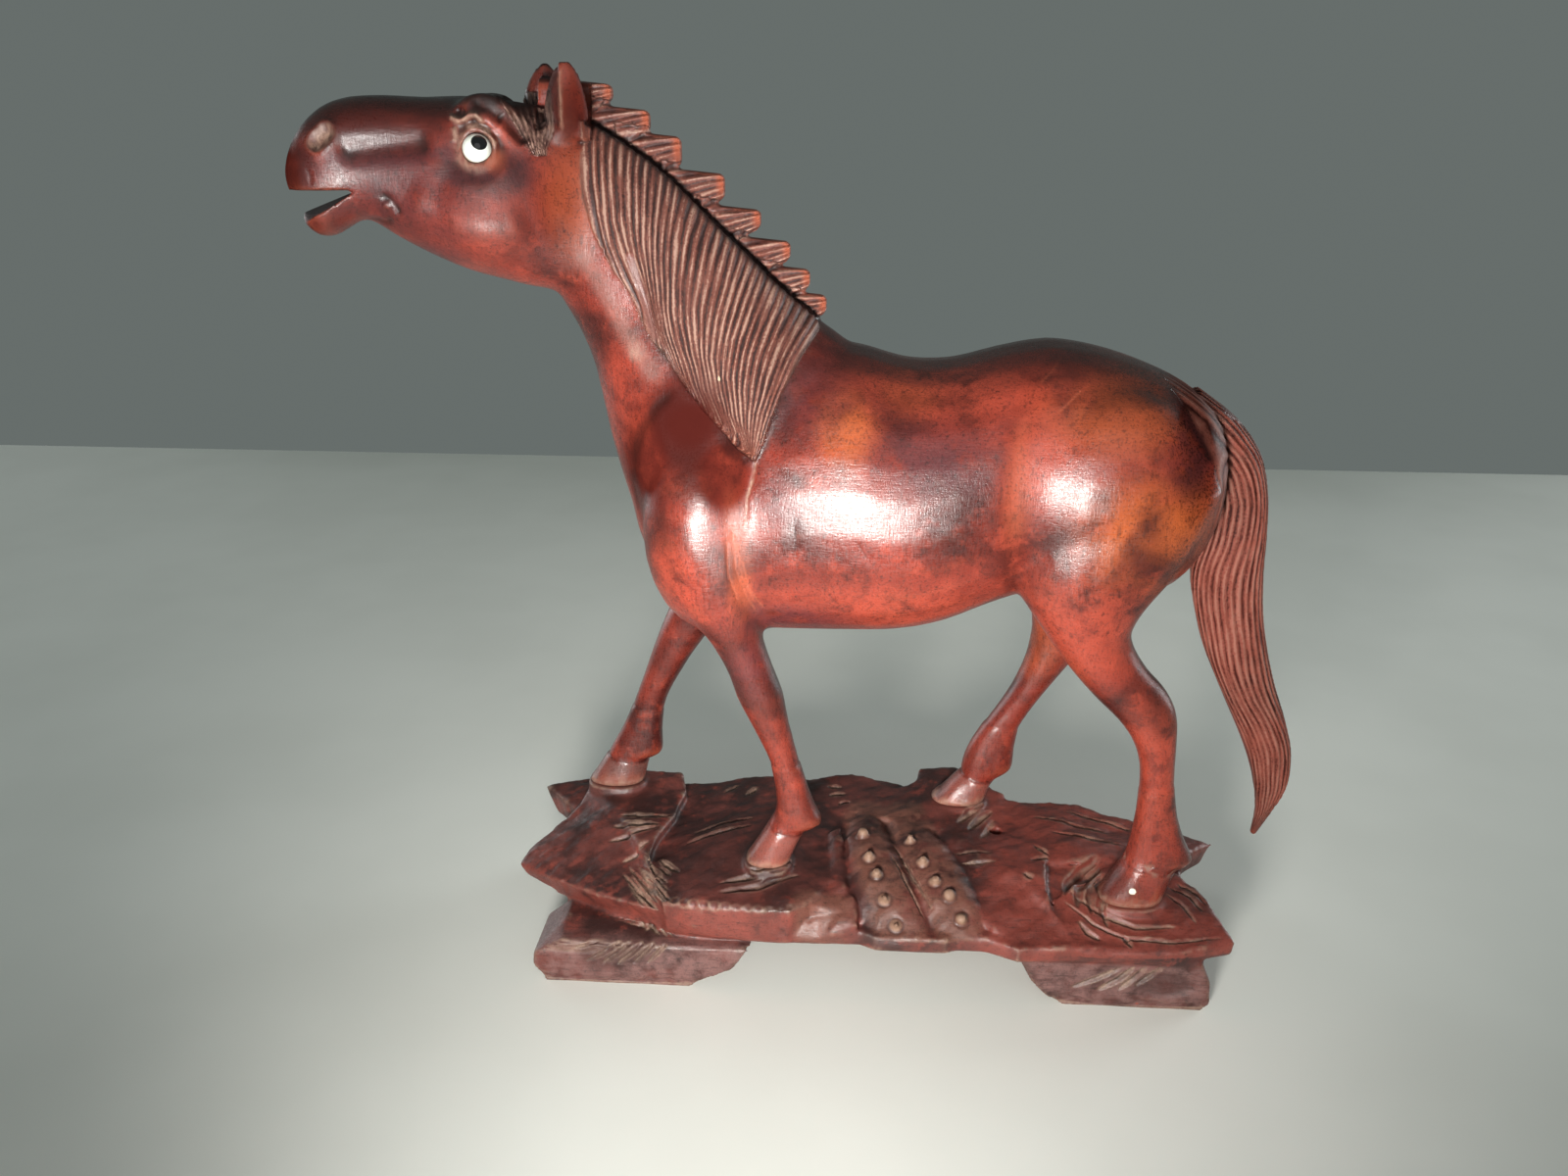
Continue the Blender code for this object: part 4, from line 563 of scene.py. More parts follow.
def figure_point(x, y, z):
    """A point of the figure, from the carver's grid to metres."""
    return Vector((x * SQUARE, y * SQUARE, DECK_HEIGHT + (z - DECK_ROW) * SQUARE))


def head_point(x, y, z):
    """A point of the head, which is turned about the poll."""
    turned = Matrix.Rotation(HEAD_YAW, 2) @ Vector((x - HEAD_PIVOT_X, y))
    return figure_point(HEAD_PIVOT_X + turned.x, turned.y, z)


def stand_point(x, y, row):
    """A point of the stand, from its plan and its rows to metres."""
    return Vector((x * SQUARE, y * SQUARE, FOOT_HEIGHT + (row - UNDERSIDE_ROW) * SQUARE))


def smooth_rows(rows, steps):
    """Catmull-Rom curve through the rows, with some steps in each span."""
    rows = np.array(rows, dtype=float)
    padded = np.vstack([2 * rows[0] - rows[1], rows, 2 * rows[-1] - rows[-2]])
    result = []
    for i in range(len(rows) - 1):
        a, b, c, d = padded[i:i + 4]
        for t in np.arange(steps) / steps:
            result.append(0.5 * (2 * b + (c - a) * t + (2 * a - 5 * b + 4 * c - d) * t ** 2
                                 + (3 * b - a - 3 * c + d) * t ** 3))
    result.append(rows[-1])
    return result


def loft(bm, rings):
    """Skin of quads over rings of points, closed at both ends."""
    loops = [[bm.verts.new(point) for point in ring] for ring in rings]
    for one, two in zip(loops, loops[1:]):
        for i in range(len(one)):
            j = (i + 1) % len(one)
            bm.faces.new((one[i], one[j], two[j], two[i]))
    faces = [bm.faces.new(loops[0][::-1]), bm.faces.new(loops[-1])]
    bmesh.ops.triangulate(bm, faces=faces)


def section(lower, upper, y, half, widest, place, power=2.2, count=28):
    """Ring between a lower and an upper point in side view; a high power makes it square."""
    lower = np.array(lower)
    upper = np.array(upper)
    ring = []
    for k in range(count):
        angle = 2 * math.pi * k / count
        along = math.copysign(abs(math.cos(angle)) ** (2 / power), math.cos(angle))
        across = math.copysign(abs(math.sin(angle)) ** (2 / power), math.sin(angle))
        share = widest + along * (1 - widest if along > 0 else widest)
        x, z = lower + (upper - lower) * share
        ring.append(place(x, y + half * across, z))
    return ring


def body_loft(bm, rows, place, power=2.2):
    """Loft of one body part whose rows lie in the middle plane."""
    loft(bm, [section(row[0:2], row[2:4], 0, row[4], row[5], place, power)
              for row in smooth_rows(rows, 3)])


def leg_y(leg, row):
    """Where the middle of a leg lies across the body at a height."""
    root = math.copysign(LEG_ROOT_Y, leg["y"])
    return float(np.interp(row, (LEG_CROWN_ROW, LEG_ROOT_ROW), (leg["y"], root)))


def leg_loft(bm, leg, rows, power):
    """A stretch of a leg."""
    loft(bm, [section(row[0:2], row[2:4], leg_y(leg, row[1]), row[4], 0.5, figure_point, power, 20)
              for row in rows])


def hoof_ring(leg, share, grow=0.0):
    """Ring of a hoof from its sole, share 0, to its crown, share 1."""
    front = np.array((leg["toe"] - grow, leg["sole"]))
    back = np.array((leg["heel"] + grow, leg["sole"]))
    crown = np.array(leg["crown"])
    front = front + (crown[0:2] - front) * share
    back = back + (crown[2:4] - back) * share
    half = leg["width"] + (leg["rows"][-1][4] + HOOF_LIP - leg["width"]) * share + grow
    return section(front, back, leg["y"], half, 0.5, figure_point, 2.4, 20)


def hoof_loft(bm, leg):
    """The hoof, a slanted cone that runs on a little below its sole."""
    low = -SOLE_ALLOWANCE / (leg["crown"][1] - leg["sole"])
    loft(bm, [hoof_ring(leg, share) for share in (low, 0.0, 0.5, 1.0)]
         + [hoof_ring(leg, 1.3, -CROWN_INSET)])


def fetlock_loft(bm, leg):
    """The last stretch of a leg with its spur, which runs on a little inside the hoof."""
    rows = list(smooth_rows(leg["rows"][-FETLOCK_ROWS:], 2))
    x1, z1, x2, z2, half = rows[-1]
    rows.append((x1 + CROWN_INSET, z1 - 1.2, x2 - CROWN_INSET, z2 - 1.2, half - CROWN_INSET))
    leg_loft(bm, leg, rows, 2.3)


def ellipsoid(bm, centre, radii, place, segments=24):
    """Round mass, placed point by point so that it turns with its part."""
    rings = []
    for k in range(1, segments // 2):
        polar = math.pi * k / (segments // 2)
        rings.append([place(centre[0] + radii[0] * math.sin(polar) * math.cos(turn),
                            centre[1] + radii[1] * math.sin(polar) * math.sin(turn),
                            centre[2] + radii[2] * math.cos(polar))
                      for turn in np.arange(segments) * 2 * math.pi / segments])
    loft(bm, rings)


def ear_loft(bm, root, tip, half_width, half_thickness):
    """Leaf-shaped ear, widest just above its root."""
    root = np.array(root)
    tip = np.array(tip)
    rings = []
    for share in np.linspace(EAR_ROOT_SHARE, 1.0, EAR_RINGS):
        centre = root + (tip - root) * share
        swell = max(EAR_TIP_SWELL, math.sqrt(1 - max(share, 0) ** 1.7))
        width = half_width * swell
        depth = half_thickness * (EAR_EDGE_SHARE + (1 - EAR_EDGE_SHARE) * swell)
        rings.append([head_point(centre[0] + width * math.cos(turn),
                                 centre[1] + depth * math.sin(turn), centre[2])
                      for turn in np.arange(16) * math.pi / 8])
    loft(bm, rings)


def tuft_loft(bm, tip_x, tip_z, blunt):
    """One blunt tuft of the standing crest, running back from the ridge."""
    rings = []
    for share, chamfer in [(share, 0) for share in TUFT_STATIONS] + [(1.0, TUFT_END_CHAMFER)]:
        x = tip_x - TUFT_LENGTH * (1 - share)
        top = tip_z + TUFT_FALL * TUFT_LENGTH * (1 - share)
        low = top - TUFT_ROOT_HEIGHT + (TUFT_ROOT_HEIGHT - blunt) * share
        half = TUFT_ROOT_HALF + (TUFT_TIP_HALF - TUFT_ROOT_HALF) * share - chamfer
        rings.append(section((x, low + chamfer), (x, top - chamfer), TUFT_MIDDLE_Y, half, 0.5,
                             figure_point, 3.2, 16))
    loft(bm, rings)


def mesh_object(name, bm):
    """Object from a bmesh whose faces are turned outwards."""
    bmesh.ops.recalc_face_normals(bm, faces=bm.faces)
    mesh = bpy.data.meshes.new(name)
    bm.to_mesh(mesh)
    bm.free()
    obj = bpy.data.objects.new(name, mesh)
    bpy.context.scene.collection.objects.link(obj)
    return obj


def apply_modifiers(obj):
    """The object's mesh becomes what its modifiers show."""
    bpy.context.view_layer.update()
    evaluated = obj.evaluated_get(bpy.context.evaluated_depsgraph_get())
    mesh = bpy.data.meshes.new_from_object(evaluated)
    obj.modifiers.clear()
    old = obj.data
    obj.data = mesh
    bpy.data.meshes.remove(old)


def combine(obj, other, operation):
    """Boolean of two objects; the second one is used up."""
    modifier = obj.modifiers.new(operation.lower(), "BOOLEAN")
    modifier.operation = operation
    modifier.object = other
    modifier.solver = "MANIFOLD"
    apply_modifiers(obj)
    bpy.data.objects.remove(other)


def fuse(obj, voxel, passes):
    """Overlapping shells become one skin, which is then rubbed down."""
    remesh = obj.modifiers.new("fuse", "REMESH")
    remesh.mode = "VOXEL"
    remesh.voxel_size = voxel
    remesh.adaptivity = 0
    smooth = obj.modifiers.new("rub", "SMOOTH")
    smooth.factor = 0.5
    smooth.iterations = passes
    apply_modifiers(obj)


def soft_masses():
    """Trunk, neck, head, legs and swelling muscles."""
    bm = bmesh.new()
    body_loft(bm, TRUNK, figure_point, 2.15)
    body_loft(bm, NECK, figure_point, 2.2)
    body_loft(bm, HEAD, head_point, 2.35)
    for leg in LEGS.values():
        leg_loft(bm, leg, smooth_rows(leg["rows"], 3), 2.1)
    for side in (-1, 1):
        for centre, radii in (SHOULDER, HAUNCH):
            ellipsoid(bm, (centre[0], side * centre[1], centre[2]), radii, figure_point)
        for centre, radii in (CHEEK, BROW):
            ellipsoid(bm, (centre[0], side * centre[1], centre[2]), radii, head_point)
    return mesh_object("horse", bm)


def crisp_parts():
    """Hooves, ears, tail and the tufts of the crest, which keep sharper edges."""
    bm = bmesh.new()
    for leg in LEGS.values():
        hoof_loft(bm, leg)
        fetlock_loft(bm, leg)
    for root, tip, half_width, half_thickness in EARS:
        ear_loft(bm, root, tip, half_width, half_thickness)
    body_loft(bm, TAIL, figure_point, 2.4)
    for tip_x, tip_z, blunt in TUFTS:
        tuft_loft(bm, tip_x, tip_z, blunt)
    return mesh_object("crisp_parts", bm)


def join(obj, other):
    """Both meshes in the first object, still as separate shells."""
    bm = bmesh.new()
    bm.from_mesh(obj.data)
    bm.from_mesh(other.data)
    bm.to_mesh(obj.data)
    bm.free()
    bpy.data.objects.remove(other)


def curve_x(rows, z):
    """x of an edge at each height, with the rows sorted by height."""
    rows = np.array(sorted(rows, key=lambda row: row[1]))
    return np.interp(z, rows[:, 1], rows[:, 0])


def mouth_cutter():
    """Wedge between the lips, open at the front."""
    corner_x, corner_z = MOUTH_CORNER
    front_x = corner_x - MOUTH_REACH
    bm = bmesh.new()
    rings = []
    for y, slope in MOUTH_FLOOR:
        drop = MOUTH_REACH * math.tan(math.radians(slope))
        outline = ((corner_x, corner_z), (front_x, MOUTH_ROOF_ROW), (front_x, corner_z - drop))
        rings.append([head_point(x, y, z) for x, z in outline])
    loft(bm, rings)
    return mesh_object("mouth_cutter", bm)


def plate_object(name, outline, crown):
    """Rock plate: a faceted top that rises or sinks to its crown, over a tapered foot."""
    bm = bmesh.new()
    middle_x = sum(corner[0] for corner in outline) / len(outline)
    middle_y = sum(corner[1] for corner in outline) / len(outline)
    taper, foot_row = PLATE_FEET.get(name, (PLATE_TAPER, PLATE_FOOT_ROW))
    top = [bm.verts.new(stand_point(*corner)) for corner in outline]
    foot = [bm.verts.new(stand_point(middle_x + (x - middle_x) * taper,
                                     middle_y + (y - middle_y) * taper, foot_row))
            for x, y, _ in outline]
    peak = bm.verts.new(stand_point(*crown))
    for i in range(len(top)):
        j = (i + 1) % len(top)
        bm.faces.new((top[i], top[j], peak))
        bm.faces.new((foot[i], foot[j], top[j]))
        bm.faces.new((foot[i], top[j], top[i]))
    bm.faces.new(foot[::-1])
    return mesh_object(name, bm)


def base_plate():
    """The slab under all the plates."""
    bm = bmesh.new()
    loft(bm, [[stand_point(x, y, row) for x, y in BASE_PLATE]
              for row in (UNDERSIDE_ROW, BASE_PLATE_TOP_ROW)])
    return mesh_object("stand", bm)


def rib_object(rows):
    """Rounded rib that runs down over the near edge."""
    bm = bmesh.new()
    rings = []
    for x, y, row, half in smooth_rows(rows, 2):
        rings.append([stand_point(x + half * math.cos(turn), y,
                                  max(row - RIB_DEPTH * (1 - math.sin(turn)), RIB_LOWEST_ROW))
                      for turn in np.arange(12) * math.pi / 6])
    loft(bm, rings)
    return mesh_object("rib", bm)


def stud_places(rows, places):
    """The tip of each stud on a rib, and the direction that it points to."""
    path = np.array(smooth_rows(rows, 8))[::-1]
    result = []
    for x, y in places:
        row = np.interp(y, path[:, 1], path[:, 2])
        ahead, behind = np.interp((y + 1, y - 1), path[:, 1], path[:, 2])
        rise = (ahead - behind) / 2
        up = Vector((0, -rise, 1)).normalized()
        result.append((stand_point(x, y, row) + up * STUD_HEIGHT, up))
    return result


def studs(rows, places):
    """Conical studs along a rib."""
    bm = bmesh.new()
    depth = STUD_HEIGHT * (1 + STUD_BURIED_SHARE)
    for tip, up in stud_places(rows, places):
        turn = up.to_track_quat("Z", "Y").to_matrix().to_4x4()
        matrix = Matrix.Translation(tip - up * depth / 2) @ turn
        bmesh.ops.create_cone(bm, cap_ends=True, segments=12, radius1=STUD_DIAMETER / 2,
                              radius2=STUD_DIAMETER / 2 * STUD_TIP_SHARE, depth=depth,
                              matrix=matrix)
    return mesh_object("studs", bm)


def foot_object(outline, shoulder, side):
    """Chamfered foot at a corner of the slab, from its outline in front view."""
    bm = bmesh.new()
    rings = []
    for y, cap in ((FOOT_OUTER_Y, shoulder), (FOOT_SHOULDER_Y, FOOT_TOP_ROW),
                   (FOOT_INNER_Y, FOOT_TOP_ROW)):
        rings.append([Vector((x * SQUARE, side * y * SQUARE,
                              min(min(row, cap) / UNDERSIDE_ROW, FOOT_OVERLAP) * FOOT_HEIGHT))
                      for x, row in outline])
    loft(bm, rings)
    return mesh_object("foot", bm)


def pad_ring(leg):
    """Ring round a sole, just below its level."""
    return [point - Vector((0, 0, TOUCH_GAP)) for point in hoof_ring(leg, 0.0, PAD_MARGIN)]


def hoof_pad(leg):
    """Level rock under a hoof, from the slab up to just below the sole."""
    bm = bmesh.new()
    top = pad_ring(leg)
    foot = [Vector((point.x, point.y, FOOT_HEIGHT + SQUARE)) for point in top]
    loft(bm, [foot, top])
    return mesh_object("pad", bm)


def hoof_pocket(leg):
    """Room for a hoof above its pad."""
    bm = bmesh.new()
    loft(bm, [pad_ring(leg), hoof_ring(leg, 1.0, POCKET_FLARE)])
    return mesh_object("pocket", bm)


def make_stand():
    """The rock stand, carved from one block."""
    stand = base_plate()
    rocks = [foot_object(outline, shoulder, side)
             for outline, shoulder in zip(FEET, FOOT_SHOULDERS) for side in (-1, 1)]
    rocks += [plate_object(name, outline, crown) for name, outline, crown in PLATES]
    rocks += [hoof_pad(leg) for leg in LEGS.values()]
    for rows, places in zip(RIBS, STUDS):
        rocks += [rib_object(rows), studs(rows, places)]
    for rock in rocks:
        combine(stand, rock, "UNION")
    for leg in LEGS.values():
        combine(stand, hoof_pocket(leg), "DIFFERENCE")
    return stand


def eye_centre(side):
    """Middle of the glass bead; side is -1 on the horse's left."""
    return head_point(EYE_AT[0], side * EYE_AT[1], EYE_AT[2])


def eye_socket(side):
    """Round cutter with a little room for the bead."""
    bm = bmesh.new()
    bmesh.ops.create_uvsphere(bm, u_segments=40, v_segments=20,
                              radius=(EYE_RADIUS + SOCKET_GAP) * SQUARE)
    bmesh.ops.translate(bm, verts=bm.verts, vec=eye_centre(side))
    return mesh_object("socket", bm)


def sole_cutter(leg):
    """Block whose top is the level of a sole, wider than the hoof all round."""
    bm = bmesh.new()
    front = leg["toe"] - SOLE_CUT_MARGIN
    back = leg["heel"] + SOLE_CUT_MARGIN
    half = leg["width"] + SOLE_CUT_MARGIN
    loft(bm, [[figure_point(x, leg["y"] + y, row)
               for x, y in ((front, -half), (back, -half), (back, half), (front, half))]
              for row in (leg["sole"] - SOLE_CUT_MARGIN, leg["sole"])])
    return mesh_object("sole_cutter", bm)


def thin(obj, triangles):
    """Fewer, larger facets."""
    bm = bmesh.new()
    bm.from_mesh(obj.data)
    bmesh.ops.triangulate(bm, faces=bm.faces)
    bm.to_mesh(obj.data)
    bm.free()
    decimate = obj.modifiers.new("thin", "DECIMATE")
    decimate.ratio = triangles / len(obj.data.polygons)
    apply_modifiers(obj)


def smooth_step(value, low, high):
    """0 below low, 1 above high, smooth between."""
    share = np.clip((value - low) / (high - low), 0, 1)
    return share * share * (3 - 2 * share)


def falling(value, low, high):
    """1 below low, 0 above high, smooth between."""
    return 1 - smooth_step(value, low, high)


def bell(value, middle, width, power=2):
    """1 at the middle, falling softly to both sides."""
    return np.exp(-((value - middle) / width) ** power)


def near_line(px, pz, points):
    """Distance of each place from a polyline, and the share of its length there."""
    points = np.array(points, float)
    lengths = np.hypot(*(points[1:] - points[:-1]).T)
    total = lengths.sum()
    best = np.full(len(px), 1e9)
    share = np.zeros(len(px))
    start = 0.0
    for (ax, az), (bx, bz), length in zip(points, points[1:], lengths):
        along = np.clip(((px - ax) * (bx - ax) + (pz - az) * (bz - az)) / length ** 2, 0, 1)
        distance = np.hypot(px - ax - along * (bx - ax), pz - az - along * (bz - az))
        closer = distance < best
        best[closer] = distance[closer]
        share[closer] = ((start + along * length) / total)[closer]
        start += length
    return best, share


def line_distance(px, pz, points):
    """Distance of each place from a polyline."""
    return near_line(px, pz, points)[0]


def reach(px, pz, points, margin):
    """Index of the places inside a polyline's box, with a margin."""
    points = np.array(points, float)
    low = points.min(0) - margin
    high = points.max(0) + margin
    return np.nonzero((px > low[0]) & (px < high[0]) & (pz > low[1]) & (pz < high[1]))[0]


def ripple(px, pz, scale, seed):
    """Smooth random values from -1 to 1 over a plane, from a few crossed waves."""
    rng = np.random.default_rng(seed)
    total = np.zeros(len(px))
    for _ in range(7):
        angle = rng.uniform(0, math.pi)
        pitch = scale * rng.uniform(0.6, 1.8)
        phase = rng.uniform(0, 2 * math.pi)
        total += np.sin(2 * math.pi * (px * math.cos(angle) + pz * math.sin(angle)) / pitch + phase)
    return total / 4


def get_places(obj):
    """The places of a mesh, one row each."""
    places = np.empty(len(obj.data.vertices) * 3)
    obj.data.vertices.foreach_get("co", places)
    return places.reshape(-1, 3)


def set_places(obj, places):
    """Moves a mesh's places."""
    obj.data.vertices.foreach_set("co", places.ravel())
    obj.data.update()


def store(obj, name, values):
    """Values at an object's places, for its material."""
    attribute = obj.data.attributes.new(name, "FLOAT", "POINT")
    attribute.data.foreach_set("value", values.astype(np.float32))


class Skin:
    """A mesh with its places in squares, and the push and paint that build up on it."""

    def __init__(self, obj):
        self.obj = obj
        self.places = get_places(obj)
        count = len(self.places)
        normals = np.empty(count * 3)
        obj.data.vertex_normals.foreach_get("vector", normals)
        self.normals = normals.reshape(-1, 3)
        self.across = self.normals[:, 1]
        self.up = self.normals[:, 2]
        self.x = self.places[:, 0] / SQUARE
        self.y = self.places[:, 1] / SQUARE
        self.z = self.places[:, 2] / SQUARE
        self.push = np.zeros(count)
        dx = self.x - HEAD_PIVOT_X
        self.hx = HEAD_PIVOT_X + dx * math.cos(HEAD_YAW) + self.y * math.sin(HEAD_YAW)
        self.hy = -dx * math.sin(HEAD_YAW) + self.y * math.cos(HEAD_YAW)
        self.side = np.clip(np.abs(self.across) * 1.6 - 0.2, 0, 1)
        self.paint = {}

    def layer(self, name):
        """Paint of one kind at each place, from 0 to 1."""
        return self.paint.setdefault(name, np.zeros(len(self.x)))

    def add(self, index=slice(None), **layers):
        """Each layer keeps the highest amount that was added at a place."""
        for name, amount in layers.items():
            layer = self.layer(name)
            layer[index] = np.maximum(layer[index], amount)

    def apply(self):
        """Moves the places along their normals, as far as they were pushed."""
        set_places(self.obj, self.places + self.normals * (self.push * SQUARE)[:, None])

    def store(self):
        """Leaves the layers on the mesh for its material."""
        for name, values in self.paint.items():
            store(self.obj, name, values)


def neighbours(obj):
    """Both ends of each edge, and how many edges meet at each place."""
    ends = np.empty(len(obj.data.edges) * 2, np.int32)
    obj.data.edges.foreach_get("vertices", ends)
    one, two = ends.reshape(-1, 2).T
    count = len(obj.data.vertices)
    degree = np.bincount(one, minlength=count) + np.bincount(two, minlength=count)
    return one, two, np.maximum(degree, 1)


def averaged(places, one, two, degree):
    """Middle of each place's neighbours."""
    count = len(places)
    columns = [np.bincount(one, weights=column[two], minlength=count)
               + np.bincount(two, weights=column[one], minlength=count) for column in places.T]
    return np.stack(columns, 1) / degree[:, None]


def mane_field(x, z):
    """Strand number at each place, and how far it is inside the mane, in squares."""
    z = np.clip(z, MANE_LOW, MANE_TABLE_TOP)
    front = curve_x(MANE_EDGE, z)
    rear = curve_x(MANE_REAR, z)
    ridge = curve_x(MANE_RIDGE, z)
    inside = np.minimum(x - front, np.minimum(rear - x, ridge + 0.2 - x))
    inside = np.where((z > MANE_LOW) & (z < MANE_HIGH), inside * 0.75, -5)
    number = np.zeros(len(z))
    last_x = front.copy()
    last_n = np.interp(z, *np.array(STRAND_ENDS).T)
    done = x <= front
    number[done] = last_n[done]
    for value, line in STRANDS + [(LAST_STRAND, MANE_REAR)]:
        here_x = np.maximum(curve_x(line, z), last_x)
        alive = z >= min(point[1] for point in line)
        here_n = np.where(alive, value, last_n)
        here_x = np.where(alive, here_x, last_x)
        between = ~done & (x <= here_x)
        share = (x - last_x) / np.maximum(here_x - last_x, 1e-6)
        number[between] = (last_n + (here_n - last_n) * share)[between]
        done |= between
        last_x = here_x
        last_n = here_n
    number[~done] = LAST_STRAND
    return number, inside


def strand_wave(number, sharp=0.75):
    """0 in the groove between two strands, 1 on a strand's back."""
    return (1 - np.abs(2 * (number % 1) - 1)) ** sharp


def carve_mane(skin):
    """Raised mane on both sides of the neck, cut into strands that run to its point."""
    number, inside = mane_field(skin.x, skin.z)
    across = mane_field(skin.x + PITCH_STEP, skin.z)[0] - number
    down = mane_field(skin.x, skin.z + PITCH_STEP)[0] - number
    pitch = PITCH_STEP / np.maximum(np.hypot(across, down), 1e-4)
    clear = smooth_step(pitch, 0.30, 0.60)
    number = number + 0.20 * ripple(number * 0.9, skin.z * 0.5, 9.0, 3)
    on_side = (np.abs(skin.y) > 2.6) & (np.abs(skin.across) > 0.12)
    edge_width = np.interp(skin.z, (108, 125), (0.5, 1.6))
    rise = np.clip(inside / edge_width, 0, 1) * on_side
    sliver = line_distance(skin.x, skin.z, SMOOTH_SLIVER)
    sliver = falling(sliver, 0.45, 0.85)
    depth = STRAND_DEPTH * (1 - 0.95 * sliver) * clear
    depth = depth * (0.85 + 0.3 * ripple(number * 0.8, skin.z, 9.0, 4))
    split = smooth_step(ripple(np.floor(number) * 3.1, skin.z * 0.25, 8.0, 7), 0.1, 0.5)
    fine = split * 0.35 * (1 - np.abs(np.cos(math.pi * number)) ** 6)
    skin.push += rise * (MANE_RAISE + depth * (strand_wave(number, 0.9) - 1) + 0.12 * fine)
    hair = smooth_step(inside, 0.0, 0.25) * on_side
    # The pinkish grey on the smooth sliver is a painted highlight.
    skin.add(hair=hair * (1 - 0.85 * sliver), horn=hair * sliver)
    here = hair > 0.05
    skin.layer("strand")[here] = number[here]
    skin.layer("clear")[here] = clear[here]
    # A dark line along the ridge, painted shade in the gap between the mane and the tufts, over a
    # shallow groove.
    line = line_distance(skin.x, skin.z, MANE_RIDGE)
    ridge = bell(line, 0, 0.38) * (np.abs(skin.y) > 1.2) * (skin.z > 121)
    skin.push -= 0.7 * ridge
    skin.add(soot=np.clip(ridge * 1.6, 0, 1))
    edge = bell(inside, 0.2, 0.25) * on_side * (skin.z < 149)
    skin.add(soil=0.20 * edge * smooth_step(skin.z, 112, 118), matte=hair * (1 - sliver))


def carve_tail(skin):
    """Strands along the tail."""
    rows = smooth_rows(TAIL, 4)
    heights = np.array([(row[1] + row[3]) / 2 for row in rows])[::-1]
    lower, upper, half = [np.interp(skin.z, heights, np.array([row[k] for row in rows])[::-1])
                          for k in (0, 2, 4)]
    back = TAIL_TOP + [(row[2], row[3]) for row in rows]
    depth_in = line_distance(skin.x, skin.z, back)
    width = np.interp(np.minimum(skin.z, 92), heights,
                      np.array([row[2] - row[0] for row in rows])[::-1])
    share = 1 - depth_in / np.maximum(width, 1.0)
    number = share * TAIL_STRANDS + 0.55 * ripple(share * 12, skin.z, 26.0, 5)
    number = number + 0.6 * (half - np.abs(skin.y)) * (2 * share - 1)
    edge = curve_x(TAIL_EDGE, skin.z)
    start = np.where(skin.z > 84, edge, lower - 0.5)
    inside = np.minimum(skin.x - start, upper + 4 - skin.x)
    on_tail = smooth_step(inside, 0.0, 0.8) * falling(skin.z, 111.5, 115.0)
    flare = np.interp(skin.z, (84, 93), (0.8, 7.0))
    on_tail = on_tail * falling(np.abs(skin.y), half + flare, half + flare * 2 + 1)
    on_tail = on_tail * ((skin.x > 55) | (skin.z > 84)) * smooth_step(skin.z, 24.5, 31.0)
    on_tail = on_tail * (skin.x > 42)
    flecks = smooth_step(skin.x - edge, -9.0, -0.5) * falling(skin.x - edge, 0, 2)
    skin.add(fleck=flecks * (skin.z > 80) * (skin.z < 116))
    depth = TAIL_DEPTH * np.clip(0.8 + 0.5 * ripple(share * 5, skin.z, 18.0, 6), 0.25, 1.4)
    skin.push += on_tail * depth * (strand_wave(number, 0.55) - 1)
    skin.add(hair=on_tail * 0.75, clear=(on_tail > 0.05) * 0.8, broad=on_tail)
    skin.add(matte=on_tail * 0.8, dull=on_tail * 0.7)
    here = on_tail > 0.05
    skin.layer("strand")[here] = number[here] + TAIL_NUMBER


def carve_tufts(skin):
    """Strands along each tuft of the crest, and its worn blunt end."""
    for number, (tip_x, tip_z, blunt) in enumerate(TUFTS):
        share = (skin.x - tip_x) / TUFT_LENGTH + 1
        top = tip_z + TUFT_FALL * (tip_x - skin.x)
        low = top - TUFT_ROOT_HEIGHT + (TUFT_ROOT_HEIGHT - blunt) * share
        level = (skin.z - low) / np.maximum(top - low, 0.5)
        inside = (share > 0.1) & (share < 1.03) & (level > -0.05) & (level < 1.15)
        ridge = curve_x(MANE_RIDGE, np.clip(skin.z, 121.6, 152.9))
        inside &= (skin.x > ridge - 0.4) & (np.abs(skin.y - TUFT_MIDDLE_Y) < 4)
        side = inside * smooth_step(np.abs(skin.across), 0.25, 0.7)
        strands = (level - 0.35 * share) * TUFT_STRANDS
        strands = strands + 0.16 * ripple(share * 9, level * 9, 12.0, 20 + number)
        skin.push += side * 0.42 * (strand_wave(strands, 0.7) - 1) * smooth_step(share, 0.1, 0.3)
        skin.add(hair=inside * 0.9, clear=inside * 0.9, matte=inside)
        skin.layer("strand")[inside] = strands[inside] + TUFT_NUMBER
        tip = inside * smooth_step(share, 0.86, 0.97) * smooth_step(level, 0.0, 0.6)
        skin.add(rust=tip)
        rim = inside * smooth_step(level, 0.86, 0.98) * smooth_step(share, 0.5, 0.9)
        skin.add(rust=rim * 0.8)


def stroke(skin, px, pz, kind, height, half, points, taper, mask):
    """One pass of a tool along a polyline."""
    if kind == "brow":
        taper = 0.5
    index = reach(px, pz, points, half * 2.6)
    distance, share = near_line(px[index], pz[index], points)
    ends = smooth_step(np.minimum(share, 1 - share), -0.02, taper)
    profile = bell(distance, 0, half) * ends * mask[index]
    skin.push[index] += height * profile
    if kind in STROKE_PAINT:
        name, strength = STROKE_PAINT[kind]
        skin.add(index, **{name: strength * np.clip(profile * 1.25, 0, 1)})


